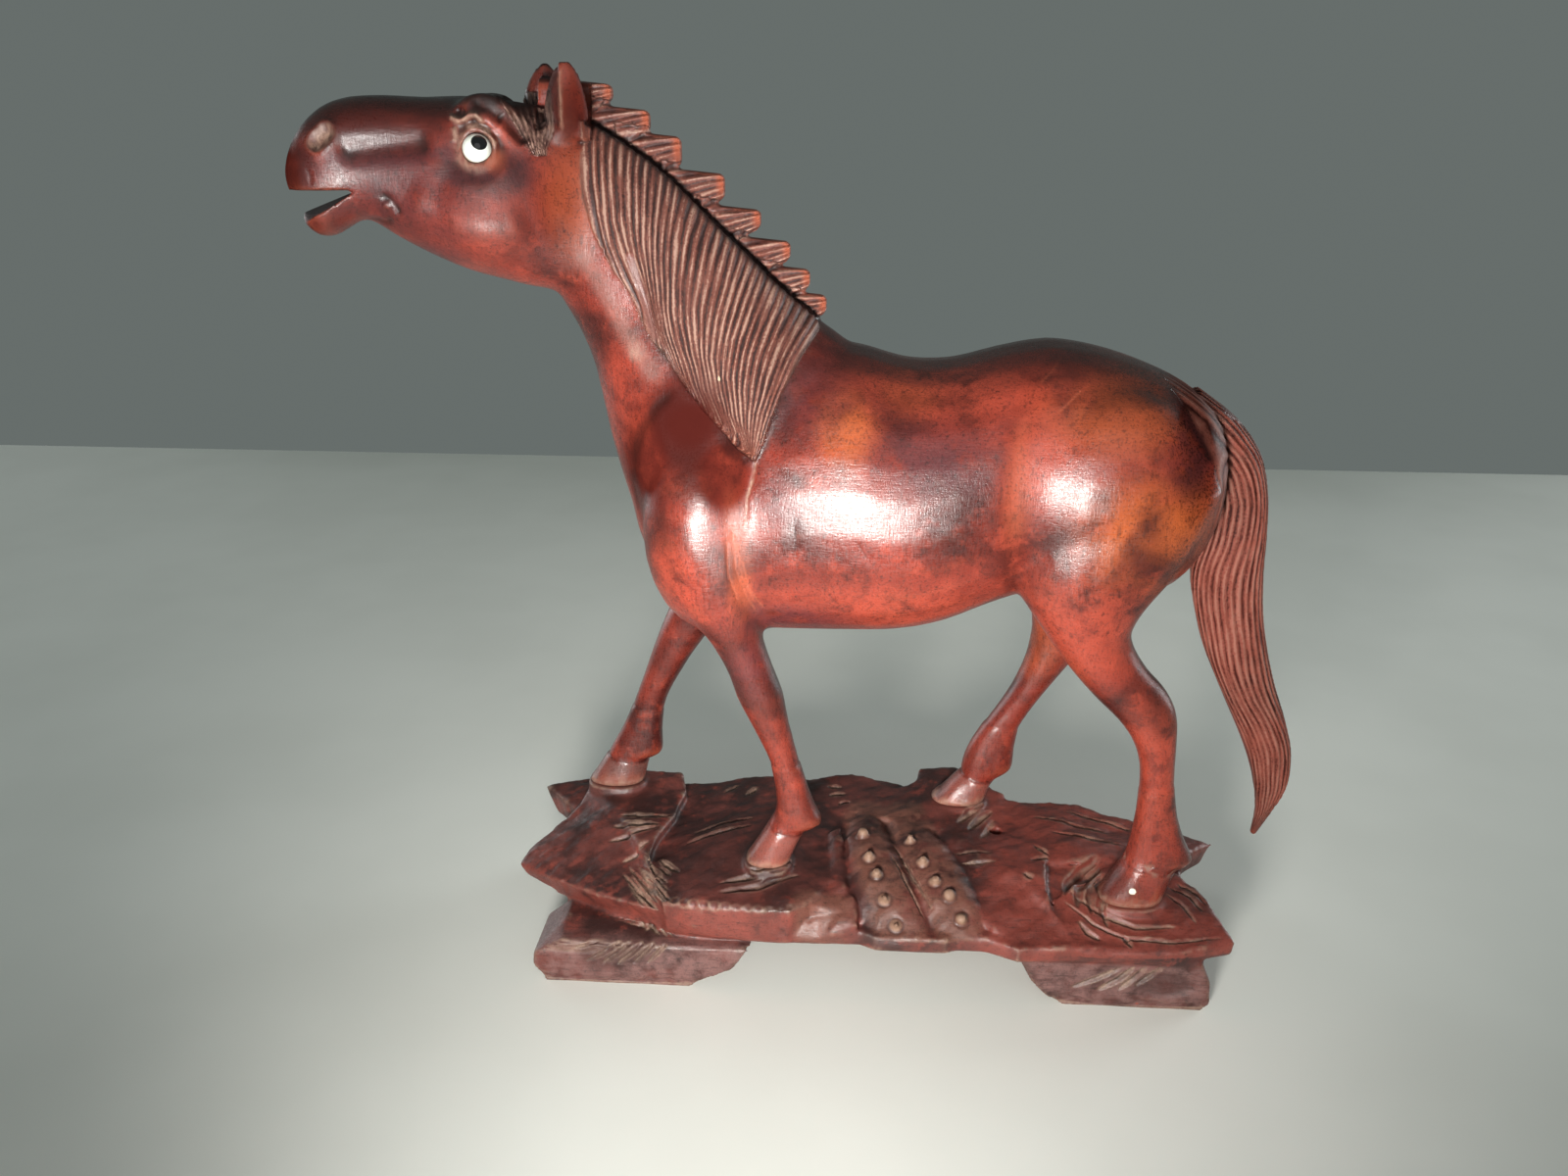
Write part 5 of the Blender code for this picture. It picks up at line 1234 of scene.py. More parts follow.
def carve_head(skin):
    """Brow, eyelids, nostril, mouth and forelock."""
    on_head = (skin.z > 132) * skin.side * (np.abs(skin.hy) > 2.0)
    for kind, height, half, points in HEAD_STROKES:
        stroke(skin, skin.hx, skin.z, kind, height, half, points, 0.16, on_head)
    left = np.interp(skin.z, (147.8, 151.5, 156.4), (-56.6, -58.9, -61.6))
    right = np.interp(skin.z, (149.0, 152.0, 156.4), (-54.4, -53.0, -53.2))
    locks = np.minimum(skin.hx - left, right - skin.hx)
    locks = smooth_step(locks, 0.0, 0.5) * on_head * (skin.z > 148.2) * (skin.z < 157.4)
    number = (skin.hx - left) / np.maximum(right - left, 1.5) * FORELOCK_STRANDS
    number = number + 0.15 * ripple(number, skin.z, 7.0, 15)
    skin.push += locks * 0.34 * (strand_wave(number, 0.8) - 0.8)
    skin.add(hair=locks * 0.9, clear=locks * 0.9, forelock=locks)
    here = locks > 0.05
    skin.layer("strand")[here] = number[here] + FORELOCK_NUMBER
    hollow = line_distance(skin.hx, skin.z, [(-65.6, 156.8), (-61.6, 154.2), (-57.6, 150.0)])
    skin.add(matte=on_head * falling(hollow, 1.0, 2.4))
    skin.add(matte=locks)
    # Painted shade inside the mouth, on its floor and under its roof.
    inner = (skin.z < 142.6) * (skin.z > 134) * (skin.hx < -85.2) * (skin.up > 0.45)
    skin.add(soot=0.9 * inner, matte=inner)
    roof = (skin.z < 143.6) * (skin.z > 141) * (skin.hx < -84.6) * (skin.up < -0.75)
    skin.add(soot=0.7 * roof)
    distance = line_distance(skin.hx, skin.z, NOSTRIL_LINE)
    skin.push += on_head * (-0.75 * bell(distance, 0, 1.05, 3) + 0.16 * bell(distance, 1.6, 0.4))
    skin.add(soil=on_head * bell(distance, 0, 1.3, 4) * 0.85)
    notch = line_distance(skin.hx, skin.z, [(-88.6, 149.5), (-87.6, 150.2)])
    skin.add(soot=0.7 * on_head * bell(notch, 0, 0.45))
    for side in (-1, 1):
        centre = np.array((EYE_AT[0], side * EYE_AT[1], EYE_AT[2]))
        offset = np.stack((skin.hx, skin.hy, skin.z), 1) - centre
        radius = np.linalg.norm(offset, axis=1)
        flat = np.hypot(offset[:, 0], offset[:, 2])
        mask = (offset[:, 1] * side > -3) * on_head
        skin.push -= mask * 0.35 * bell(flat, 3.6, 1.2)
        above = smooth_step(offset[:, 2] * 0.8 + offset[:, 0] * 0.45, -0.5, 1.8)
        skin.push += mask * 0.45 * above * bell(flat, 2.85, 0.38)
        soil = bell(flat, 2.7, 0.75) * mask
        around = 0.35 + 0.65 * smooth_step(-offset[:, 0] - 0.4 * offset[:, 2], -0.5, 2.5)
        skin.add(soil=0.65 * soil * around)
        cheek = np.hypot((offset[:, 0] - 2.6) / 2.2, (offset[:, 2] + 1.6) / 2.0)
        skin.add(rust=0.6 * mask * falling(cheek, 0.3, 1.2))
        # Painted shadow of the upper lid along the top of the socket.
        lid_shadow = bell(radius, EYE_RADIUS, 0.35) * above
        skin.add(soot=0.9 * lid_shadow)
        smudge = line_distance(skin.hx, skin.z, SMUDGE_LINE)
        skin.add(plum=mask * falling(smudge, 0.8, 3.0))
        skin.add(soot=0.40 * mask * falling(smudge, 0.4, 2.4))
    # Painted shade on the top of the nose and the front of the muzzle, and on the upward-facing top
    # of the head.
    crown = curve_x([(x, z) for z, x in NOSE_TOP], skin.hx)
    top = smooth_step(skin.z - crown, -0.3, 0.9) * (skin.hx < -63)
    top = np.maximum(top, smooth_step(skin.up, 0.3, 0.8) * (skin.z > 140) * (skin.hx < -50))
    skin.add(soot=0.92 * top, matte=top * (skin.hx > -62), dull=0.6 * top * (skin.hx > -62))
    band = line_distance(skin.hx, skin.z, [(-88.0, 147.4), (-80.0, 147.2), (-70.0, 148.4)])
    skin.add(plum=on_head * falling(band, 0.6, 2.6) * 0.9)


def carve_ears(skin):
    """The hollow front of each ear with painted shade in it, and the painted shadow of the near ear
    on the far one.
    """
    for root, tip, half_width, _ in EARS:
        side = math.copysign(1, root[1])
        height = (skin.z - root[2]) / (tip[2] - root[2])
        line = root[0] - 0.7 + 0.3 * height
        mask = smooth_step(height, -0.05, 0.12) * (np.abs(skin.hy - root[1]) < 3.2)
        mask = mask * (skin.across * side > 0.02) * (skin.hx > root[0] - half_width - 1)
        mask = mask * (skin.hx < root[0] + half_width + 1) * (height < 1.1)
        front = smooth_step(line - skin.hx, 0.0, 0.35)
        skin.push -= 0.55 * mask * front * falling(height, 0.8, 1.0)
        # Painted shade in the hollow front of the ear.
        skin.add(soot=(0.80 if side < 0 else 0.6) * mask * front)
        skin.add(matte=mask * (0.6 + 0.4 * front))
        middle = (skin.hx - root[0] - 1.0) / (half_width * 0.75)
        skin.push += 0.20 * mask * (1 - front) * np.exp(-middle ** 2)
        skin.add(red=0.6 * mask * (1 - front) * smooth_step(height, 0.3, 0.8))
        skin.add(soot=0.45 * mask * (1 - front))
        edge = bell(skin.hx, line, 0.20) * (height < 0.85)
        skin.add(soil=0.55 * mask * edge)
        # Painted shadow that the near ear casts on the far one.
        if side > 0:
            near = (np.abs(skin.hy - root[1]) < 3.2) * (np.abs(skin.hx - root[0]) < 5)
            skin.add(soot=0.55 * smooth_step(height, 0.0, 0.15) * near * (skin.across < 0.3))


def carve_body(skin):
    """Creases, overlaps and scratches of the body, on both sides, and painted shade on the top of
    the back.
    """
    below = (skin.z < 121) * skin.side * (skin.x < 58)
    for kind, height, half, points in BODY_STROKES:
        stroke(skin, skin.x, skin.z, kind, height, half, points, 0.12, below)
        if kind in STROKE_FINISH:
            finish, amount = STROKE_FINISH[kind]
            line = line_distance(skin.x, skin.z, points)
            skin.add(**{finish: amount * below * falling(line, 1.0, 5.0)})
    # Painted shade on the upward-facing top of the back.
    back = smooth_step(skin.up, 0.6, 0.95) * (skin.z > 105) * (skin.z < 125)
    skin.add(soot=0.35 * back * (skin.x < 52))


def paint_neck(skin):
    """Pale band beside the mane's front edge, which is a painted sheen, and a chalky spot at its
    lower end.
    """
    side = skin.side * (np.abs(skin.y) > 3)
    band = line_distance(skin.x, skin.z, PALE_BAND)
    # The pale band is a painted sheen.
    skin.add(horn=0.8 * side * falling(band, 0.5, 2.4))
    spot = np.hypot(skin.x - PALE_BAND[-2][0], skin.z - PALE_BAND[-2][1])
    skin.add(soil=0.5 * side * falling(spot, 0.6, 2.0))


def carve_hooves(skin):
    """A cut round the crown of each hoof, soil along its sole and chips on the near hind one."""
    for leg in LEGS.values():
        x1, z1, x2, z2 = leg["crown"]
        length = math.hypot(x2 - x1, z2 - z1)
        level = ((skin.z - z1) * (x2 - x1) - (skin.x - x1) * (z2 - z1)) / length
        here = (np.abs(skin.y - leg["y"]) < 8) & (skin.x > x1 - 9) & (skin.x < x2 + 5)
        level = level + 0.25 * ripple(skin.x, skin.y, 7.0, 9)
        plain = leg is LEGS["near_hind"]
        cut = bell(level, 0, 0.22) * here
        skin.push -= (0.06 if plain else 0.12) * cut
        skin.add(soot=(0.25 if plain else 0.5) * cut)
        hoof = here * smooth_step(-level, 0.1, 0.6)
        # The grey-pink horn colour of the hoof is partly a painted sheen.
        skin.add(horn=hoof * (0.12 if plain else 0.5))
        if plain:
            chips = smooth_step(ripple(skin.x + skin.y, skin.z * 1.6, 3.2, 16), 0.35, 0.7)
            chips = chips * here * bell(level, 0.6, 1.1)
            skin.push -= 0.14 * chips
            skin.add(soil=0.55 * chips)
        uneven = 0.5 * ripple(skin.x, skin.y, 3.0, 14)
        low = smooth_step(leg["sole"] + 1.3 - skin.z + uneven, 0, 0.9)
        skin.add(soil=0.6 * hoof * low)
        spread = 0.16 * ripple(skin.x, skin.y + skin.z * 0.5, 6.0, 10) * hoof
        skin.push += spread * (skin.z > leg["sole"] + 0.8)


def paint_body(skin):
    """Worn, stained and mottled zones and some painted shade and light, as broad soft patches."""
    for px, patches in ((skin.x, BODY_PATCHES), (skin.hx, HEAD_PATCHES)):
        for name, rows in patches.items():
            for x, z, half_x, half_z, amount in rows:
                distance = np.hypot((px - x) / half_x, (skin.z - z) / half_z)
                skin.add(**{name: amount * falling(distance, 0.25, 1.1)})


def rub(obj, share, passes):
    """Pulls each place towards its neighbours, by its own share of the way."""
    one, two, degree = neighbours(obj)
    places = get_places(obj)
    for _ in range(passes):
        places = places + share[:, None] * (averaged(places, one, two, degree) - places)
    set_places(obj, places)


def soften(obj, x, z, radius, passes=SOFTEN_PASSES):
    """Rubs a join between two masses until it is smooth; place and radius in squares."""
    skin = Skin(obj)
    away = np.sqrt((skin.x - x) ** 2 + (skin.z - z) ** 2)
    rub(obj, RUB_SHARE * falling(away, radius * 0.4, radius), passes)


def carve_horse():
    """The figure with all its tool work."""
    horse = soft_masses()
    fuse(horse, SOFT_VOXEL, SOFT_RUBS)
    for x, z, radius in BLENDS:
        soften(horse, x, z, radius)
    combine(horse, mouth_cutter(), "DIFFERENCE")
    join(horse, crisp_parts())
    fuse(horse, FINE_VOXEL, FINE_RUBS)
    for x, z, radius in EAR_JOINS:
        soften(horse, x, z, radius)
    works = (carve_mane, carve_tail, carve_tufts, carve_head, carve_ears, carve_body,
             carve_hooves)
    skin = Skin(horse)
    for work in works:
        work(skin)
    skin.apply()
    for leg in LEGS.values():
        combine(horse, sole_cutter(leg), "DIFFERENCE")
    for side in (-1, 1):
        combine(horse, eye_socket(side), "DIFFERENCE")
    thin(horse, HORSE_TRIANGLES)
    skin = Skin(horse)
    for work in works + (paint_neck, paint_body):
        work(skin)
    skin.store()
    return horse


def carve_stand():
    """The rock with its gouge cuts, scallops and the lines on its feet."""
    stand = make_stand()
    fuse(stand, STAND_VOXEL, FINE_RUBS)
    wear_stand(stand)
    for x, z, radius, passes in STAND_TIPS:
        soften(stand, x, z, radius, passes)
    skin = Skin(stand)
    cut_stand(skin)
    skin.apply()
    thin(stand, STAND_TRIANGLES)
    skin = Skin(stand)
    cut_stand(skin)
    skin.store()
    return stand


def wear_stand(stand):
    """Rubs the rock's edges round, but not the studs and the soles of the feet."""
    skin = Skin(stand)
    share = RUB_SHARE * (skin.z > 0.4)
    for rows, places in zip(RIBS, STUDS):
        for tip, _ in stud_places(rows, places):
            away = np.linalg.norm(skin.places - np.array(tip), axis=1) / SQUARE
            share = share * smooth_step(away, 1.4, 2.6)
    rub(stand, share, STAND_RUBS)


def spindle(skin, index, px, pz, half, depth, points, mask):
    """One gouge cut: narrow at both ends, deepest in the middle, with a thin raised lip."""
    distance, share = near_line(px[index], pz[index], points)
    body = np.sqrt(np.clip(1 - (2 * share - 1) ** 2, 0.02, 1))
    across = distance / (half * body)
    profile = np.clip(1 - across ** 2, 0, 1) * mask[index]
    skin.push[index] -= depth * body * profile
    fade = np.clip(0.62 + 0.5 * ripple(px[index], pz[index], 2.6, 60), 0.15, 1)
    if half > 0.9:
        fade = fade * 0.6
    skin.add(index, cut=np.clip(profile * 1.6, 0, 1) * smooth_step(body, 0.1, 0.6) * fade)
    lip = bell(across, 1.25, 0.2) * body * mask[index]
    skin.push[index] += 0.08 * lip
    skin.add(index, worn=0.5 * lip)


def cut_stand(skin):
    """All tool cuts of the stand, as push and paint, with painted shade round the studs and painted
    light on the front faces.
    """
    top = smooth_step(skin.up, 0.3, 0.6)
    open_rock = smooth_step(skin.z, 11.0, 13.5)
    for leg in LEGS.values():
        away = np.hypot(skin.x - (leg["toe"] + leg["heel"]) / 2, skin.y - leg["y"])
        open_rock = open_rock * smooth_step(away, 6.0, 9.0)
    uneven = 0.34 * ripple(skin.x, skin.y, 13.0, 41) + 0.16 * ripple(skin.x, skin.y * 1.3, 4.5, 42)
    skin.push += open_rock * (uneven + 0.05 * ripple(skin.x, skin.y, 1.8, 43))
    mound = np.exp(-((skin.x - 40.0) / 5.5) ** 2 - ((skin.y + 0.5) / 3.6) ** 2)
    skin.push += open_rock * mound * top
    for half, depth, points in TOP_CUTS:
        index = reach(skin.x, skin.y, points, 2.2)
        spindle(skin, index, skin.x, skin.y, half, depth, points, top)
    for side in (-1, 1):
        face = smooth_step(skin.across * side, 0.25, 0.5) * (skin.z < 10.6)
        for half, depth, points in FOOT_CUTS:
            index = reach(skin.x, skin.z, points, 2.0)
            spindle(skin, index, skin.x, skin.z, half, depth, points, face)
        for low, high, row in FOOT_LINES:
            level = skin.z - row - 0.2 * ripple(skin.x, skin.z, 9.0, int(row * 10))
            line = bell(level, 0, 0.2) * face * (skin.x > low) * (skin.x < high)
            skin.push -= 0.26 * line
            skin.add(cut=0.6 * line)
        low = smooth_step(1.6 - skin.z + 0.8 * ripple(skin.x, skin.y, 4.0, 47), 0.0, 0.5)
        skin.push -= 0.30 * low * face * (skin.z > 0.15)
        grain = ripple(skin.x * 0.12, skin.z * 2.0, 0.9, 45) * face
        skin.push += 0.05 * grain
    path = np.array(SCALLOP_PATH)
    lengths = np.concatenate([[0], np.cumsum(np.hypot(*(path[1:] - path[:-1]).T))])
    near_edge = (skin.z > SCALLOP_LEVEL[0] - 1.1) * (skin.z < SCALLOP_LEVEL[1] + 1.4)
    for k in range(SCALLOP_COUNT):
        at = lengths[-1] * (k + 0.5) / SCALLOP_COUNT
        x = np.interp(at, lengths, path[:, 0])
        y = np.interp(at, lengths, path[:, 1])
        z = np.interp(k, (0, SCALLOP_COUNT - 1), SCALLOP_LEVEL) + 0.45
        distance = np.sqrt((skin.x - x) ** 2 + (skin.y - y) ** 2 + (skin.z - z) ** 2)
        hollow = np.clip(1 - (distance / SCALLOP_RADIUS) ** 2, 0, 1)
        skin.push -= 0.24 * hollow
        rim = bell(distance, SCALLOP_RADIUS * 0.95, 0.22) * near_edge
        skin.add(worn=0.35 * rim * (skin.z > z - 1.0))
    rng = np.random.default_rng(12)
    for ax, ay, bx, by in HATCH:
        for shift in (-0.35, 0.35):
            points = [(ax + shift, ay - shift), (bx + shift + rng.uniform(-0.6, 0.6), by)]
            index = reach(skin.x, skin.y, points, 1.0)
            spindle(skin, index, skin.x, skin.y, rng.uniform(0.24, 0.42), 0.34, points,
                    smooth_step(skin.up, 0.05, 0.3))
    for rows, places in zip(RIBS, STUDS):
        ridge = line_distance(skin.x, skin.y, [row[:2] for row in rows])
        skin.add(rib=falling(ridge, 3.4, 5.4) * (skin.z > 12.6))
        for tip, up in stud_places(rows, places):
            offset = skin.places / SQUARE - np.array(tip) / SQUARE
            along = offset @ np.array(up)
            away = np.sqrt(np.maximum((offset ** 2).sum(1) - along ** 2, 0))
            level = (along > -2.2) * (along < 0.6)
            skin.add(stud=falling(away, 0.85, 1.25) * level)
            # A ring cut round each stud, darkened as painted shade.
            ring = bell(away, 1.45, 0.28) * level
            skin.push -= 0.14 * ring
            skin.add(soot=0.5 * ring)
    lens = (skin.x > 36) * (skin.y < -2.5) * (skin.z > 11.5)
    skin.add(red=lens * 0.75)
    skin.add(red=0.6 * smooth_step(skin.x, 20, 26) * (skin.z > 12))
    # Painted light on the faces turned to the front.
    front = smooth_step(-skin.across, 0.35, 0.7) * (skin.z > 9.8) * (skin.z < 17.6)
    skin.add(red=front * (skin.x < -8) * 0.55)
    strip = line_distance(skin.x, skin.y, [(20.0, -17.6), (27.0, -21.8), (36.0, -22.4)])
    skin.add(red=falling(strip, 1.5, 3.5) * 0.5 * (skin.z > 10.4))
    bowl = np.hypot((skin.x + 21) / 17, (skin.y + 6) / 17)
    bowl = falling(bowl, 0.7, 1.05) * smooth_step(skin.z, 16.5, 18.0)
    skin.add(deep=0.6 * bowl)
    scoop = np.hypot((skin.x - 54.5) / 7.0, (skin.z - 5.2) / 3.4)
    scoop = falling(scoop, 0.55, 1.0) * (skin.y < -18) * (skin.z < 9.5)
    skin.push -= 0.55 * scoop
    skin.add(deep=0.7 * scoop)
    pocket = np.hypot((skin.x - 60.5) / 6.0, (skin.y + 11.0) / 5.0)
    skin.add(deep=0.7 * top * falling(pocket, 0.4, 1.1))
    feet = smooth_step(9.8 - skin.z, 0, 1)
    dark = smooth_step(ripple(skin.x, skin.z * 1.4, 14.0, 61), 0.1, 0.9)
    skin.add(deep=0.6 * dark * feet, grey=feet * (skin.z < 10))
    facet = line_distance(skin.x, skin.y, [(-11.0, -19.0), (-5.0, -18.0)])
    skin.add(pale=falling(facet, 1.6, 3.6) * 0.9)


def convexity(obj, passes):
    """How far each place stands out from its surroundings, in squares; hollows are below 0."""
    skin = Skin(obj)
    one, two, degree = neighbours(obj)
    smooth = skin.places.copy()
    for _ in range(passes):
        smooth = 0.5 * smooth + 0.5 * averaged(smooth, one, two, degree)
    return ((skin.places - smooth) * skin.normals).sum(1) / SQUARE


class Paint:
    """A material's nodes, added step by step."""

    def __init__(self, name):
        self.material = bpy.data.materials.new(name)
        self.material.use_nodes = True
        self.tree = self.material.node_tree
        self.shader = self.tree.nodes["Principled BSDF"]
        self.place = self.node("TexCoord").outputs["Object"]

    def put(self, value, socket):
        """A link or a fixed value into a socket."""
        if isinstance(value, bpy.types.NodeSocket):
            self.tree.links.new(value, socket)
        else:
            socket.default_value = value

    def node(self, kind, **inputs):
        """A node of this kind, with links or fixed values in some of its inputs."""
        node = self.tree.nodes.new("ShaderNode" + kind)
        for name, value in inputs.items():
            self.put(value, node.inputs[name.replace("_", " ")])
        return node

    def maths(self, operation, *values, clamp=False):
        """Arithmetic on values or links."""
        node = self.node("Math")
        node.operation = operation
        node.use_clamp = clamp
        for value, socket in zip(values, node.inputs):
            self.put(value, socket)
        return node.outputs[0]

    def noise(self, size, detail=2.0, stretch=(1, 1, 1), turn=(0, 0, 0), rough=0.5, wave=0.0):
        """Noise with features of about this size in squares, longer where stretched."""
        mapping = self.node("Mapping", Vector=self.place,
                            Rotation=[math.radians(angle) for angle in turn],
                            Scale=[1 / (size * SQUARE * s) for s in stretch])
        return self.node("TexNoise", Vector=mapping.outputs["Vector"], Scale=1, Detail=detail,
                         Roughness=rough, Distortion=wave).outputs["Fac"]

    def streaks(self, name, across, along):
        """Noise that runs on along the lines where a layer keeps its value."""
        split = self.node("SeparateXYZ", Vector=self.place)
        joined = self.node("CombineXYZ", X=self.maths("MULTIPLY", self.layer(name), across),
                           Y=self.maths("MULTIPLY", split.outputs["Z"], along / SQUARE),
                           Z=self.maths("MULTIPLY", split.outputs["X"], along / SQUARE))
        return self.node("TexNoise", Vector=joined.outputs["Vector"], Scale=1,
                         Detail=3).outputs["Fac"]

    def spread(self, value, low, high, start=0.0, end=1.0):
        """Value from low to high as start to end, with soft ends."""
        node = self.node("MapRange", Value=value, From_Min=low, From_Max=high, To_Min=start,
                         To_Max=end)
        node.interpolation_type = "SMOOTHSTEP"
        return node.outputs["Result"]

    def layer(self, name):
        """A layer that is stored on the mesh."""
        node = self.node("Attribute")
        node.attribute_name = name
        return node.outputs["Fac"]

    def patchy(self, name, noise, low, high, start=0.0, end=1.0):
        """A layer that noise breaks up."""
        return self.maths("MULTIPLY", self.layer(name),
                          self.spread(noise, low, high, start, end))

    def mix(self, share, one, two):
        """From one colour to the other as the share goes from 0 to 1."""
        node = self.node("Mix")
        node.data_type = "RGBA"
        self.put(share, node.inputs["Factor"])
        for colour, socket in ((one, node.inputs["A"]), (two, node.inputs["B"])):
            self.put(colour if isinstance(colour, bpy.types.NodeSocket) else (*colour, 1), socket)
        return node.outputs["Result"]

    def over(self, colour, share, top, strength=1.0):
        """A colour laid over another one, where the share is high."""
        return self.mix(self.maths("MULTIPLY", share, strength, clamp=True), colour, top)

    def coats(self, colour, *coats):
        """Colours laid one over the other, each with its share and strength."""
        for share, top, strength in coats:
            colour = self.over(colour, share, top, strength)
        return colour

    def away(self, x, y, z):
        """Distance from a place, in squares."""
        node = self.node("VectorMath")
        node.operation = "DISTANCE"
        self.put(self.place, node.inputs[0])
        node.inputs[1].default_value = Vector((x, y, z)) * SQUARE + ROOT_SHIFT
        return self.maths("DIVIDE", node.outputs["Value"], SQUARE)

    def bump(self, height, distance, strength, under=None):
        """Fine relief, its height in squares, laid over the one under it."""
        node = self.node("Bump", Strength=strength, Distance=distance * SQUARE, Height=height)
        if under is not None:
            self.put(under, node.inputs["Normal"])
        return node.outputs["Normal"]

    def finish(self, colour, roughness, normal, **others):
        """The finished material; other inputs of the shader go by their names."""
        self.put(colour, self.shader.inputs["Base Color"])
        self.put(roughness, self.shader.inputs["Roughness"])
        self.put(normal, self.shader.inputs["Normal"])
        for name, value in others.items():
            self.put(value, self.shader.inputs[name.replace("_", " ")])
        return self.material


# Colours of the stains and the dirt, some of which also serve as painted shade, light and sheen,
# linear
# The darkest wood colour also serves for painted shade, and the bright red one for painted light on
# the upper back.
WOOD_DEEP_AND_SHADE = (0.046, 0.0080, 0.0062)
WOOD_MID = (0.165, 0.0230, 0.0140)
WOOD_RED_AND_LIT = (0.320, 0.0480, 0.0260)
AMBER = (0.360, 0.0820, 0.0210)
PLUM = (0.064, 0.0165, 0.0190)
# Near black for dark pores, soot and flecks, and for painted shade in hollows, creases and on tops.
SOOT_AND_SHADE = (0.010, 0.0045, 0.0040)
SOIL = (0.320, 0.205, 0.150)
RUST = (0.400, 0.095, 0.045)
# Across a strand the crest colour is partly a painted highlight and the groove colour partly
# painted shade.
HAIR_RIDGE = (0.310, 0.185, 0.140)
HAIR_SIDE = (0.125, 0.040, 0.028)
HAIR_GROOVE = (0.030, 0.0085, 0.0065)
TAIL_RED = (0.280, 0.085, 0.062)
# Pinkish grey of the hooves' horn, partly a painted sheen, and the painted highlight on the mane's
# sliver and the neck's pale band.
HORN_AND_SHEEN = (0.210, 0.115, 0.098)
STAND_DEEP = (0.032, 0.0100, 0.0085)
STAND_MID = (0.122, 0.0315, 0.0245)
# The stand's bright red also serves for painted light on its front faces.
STAND_RED_AND_LIT = (0.220, 0.0430, 0.0290)
FOOT_GREY = (0.175, 0.088, 0.080)
RIB_BROWN = (0.140, 0.058, 0.040)
CUT_TAN = (0.270, 0.175, 0.125)
STUD_TAN = (0.250, 0.150, 0.100)
BONE_WHITE = (0.70, 0.68, 0.56)
FIBRE_TAN = (0.50, 0.40, 0.27)

# Small marks: place, size in squares and colour
HORSE_SPECKS = [((48.7, -14.6, 20.6), 0.62, BONE_WHITE), ((29.8, 9.4, 42.3), 0.75, FIBRE_TAN),
                ((-26.0, -14.2, 114.5), 0.42, FIBRE_TAN)]
STAND_SPECKS = [((50.3, -21.4, 0.6), 0.35, (0.27, 0.055, 0.032)),
                ((33.2, -0.8, 19.6), 0.5, FIBRE_TAN)]


def strand_height(paint):
    """Height across the strands: 0 in a groove and 1 on a strand's back."""
    turn = paint.maths("PINGPONG", paint.layer("strand"), 0.5)
    return paint.maths("MULTIPLY", turn, 2.0)


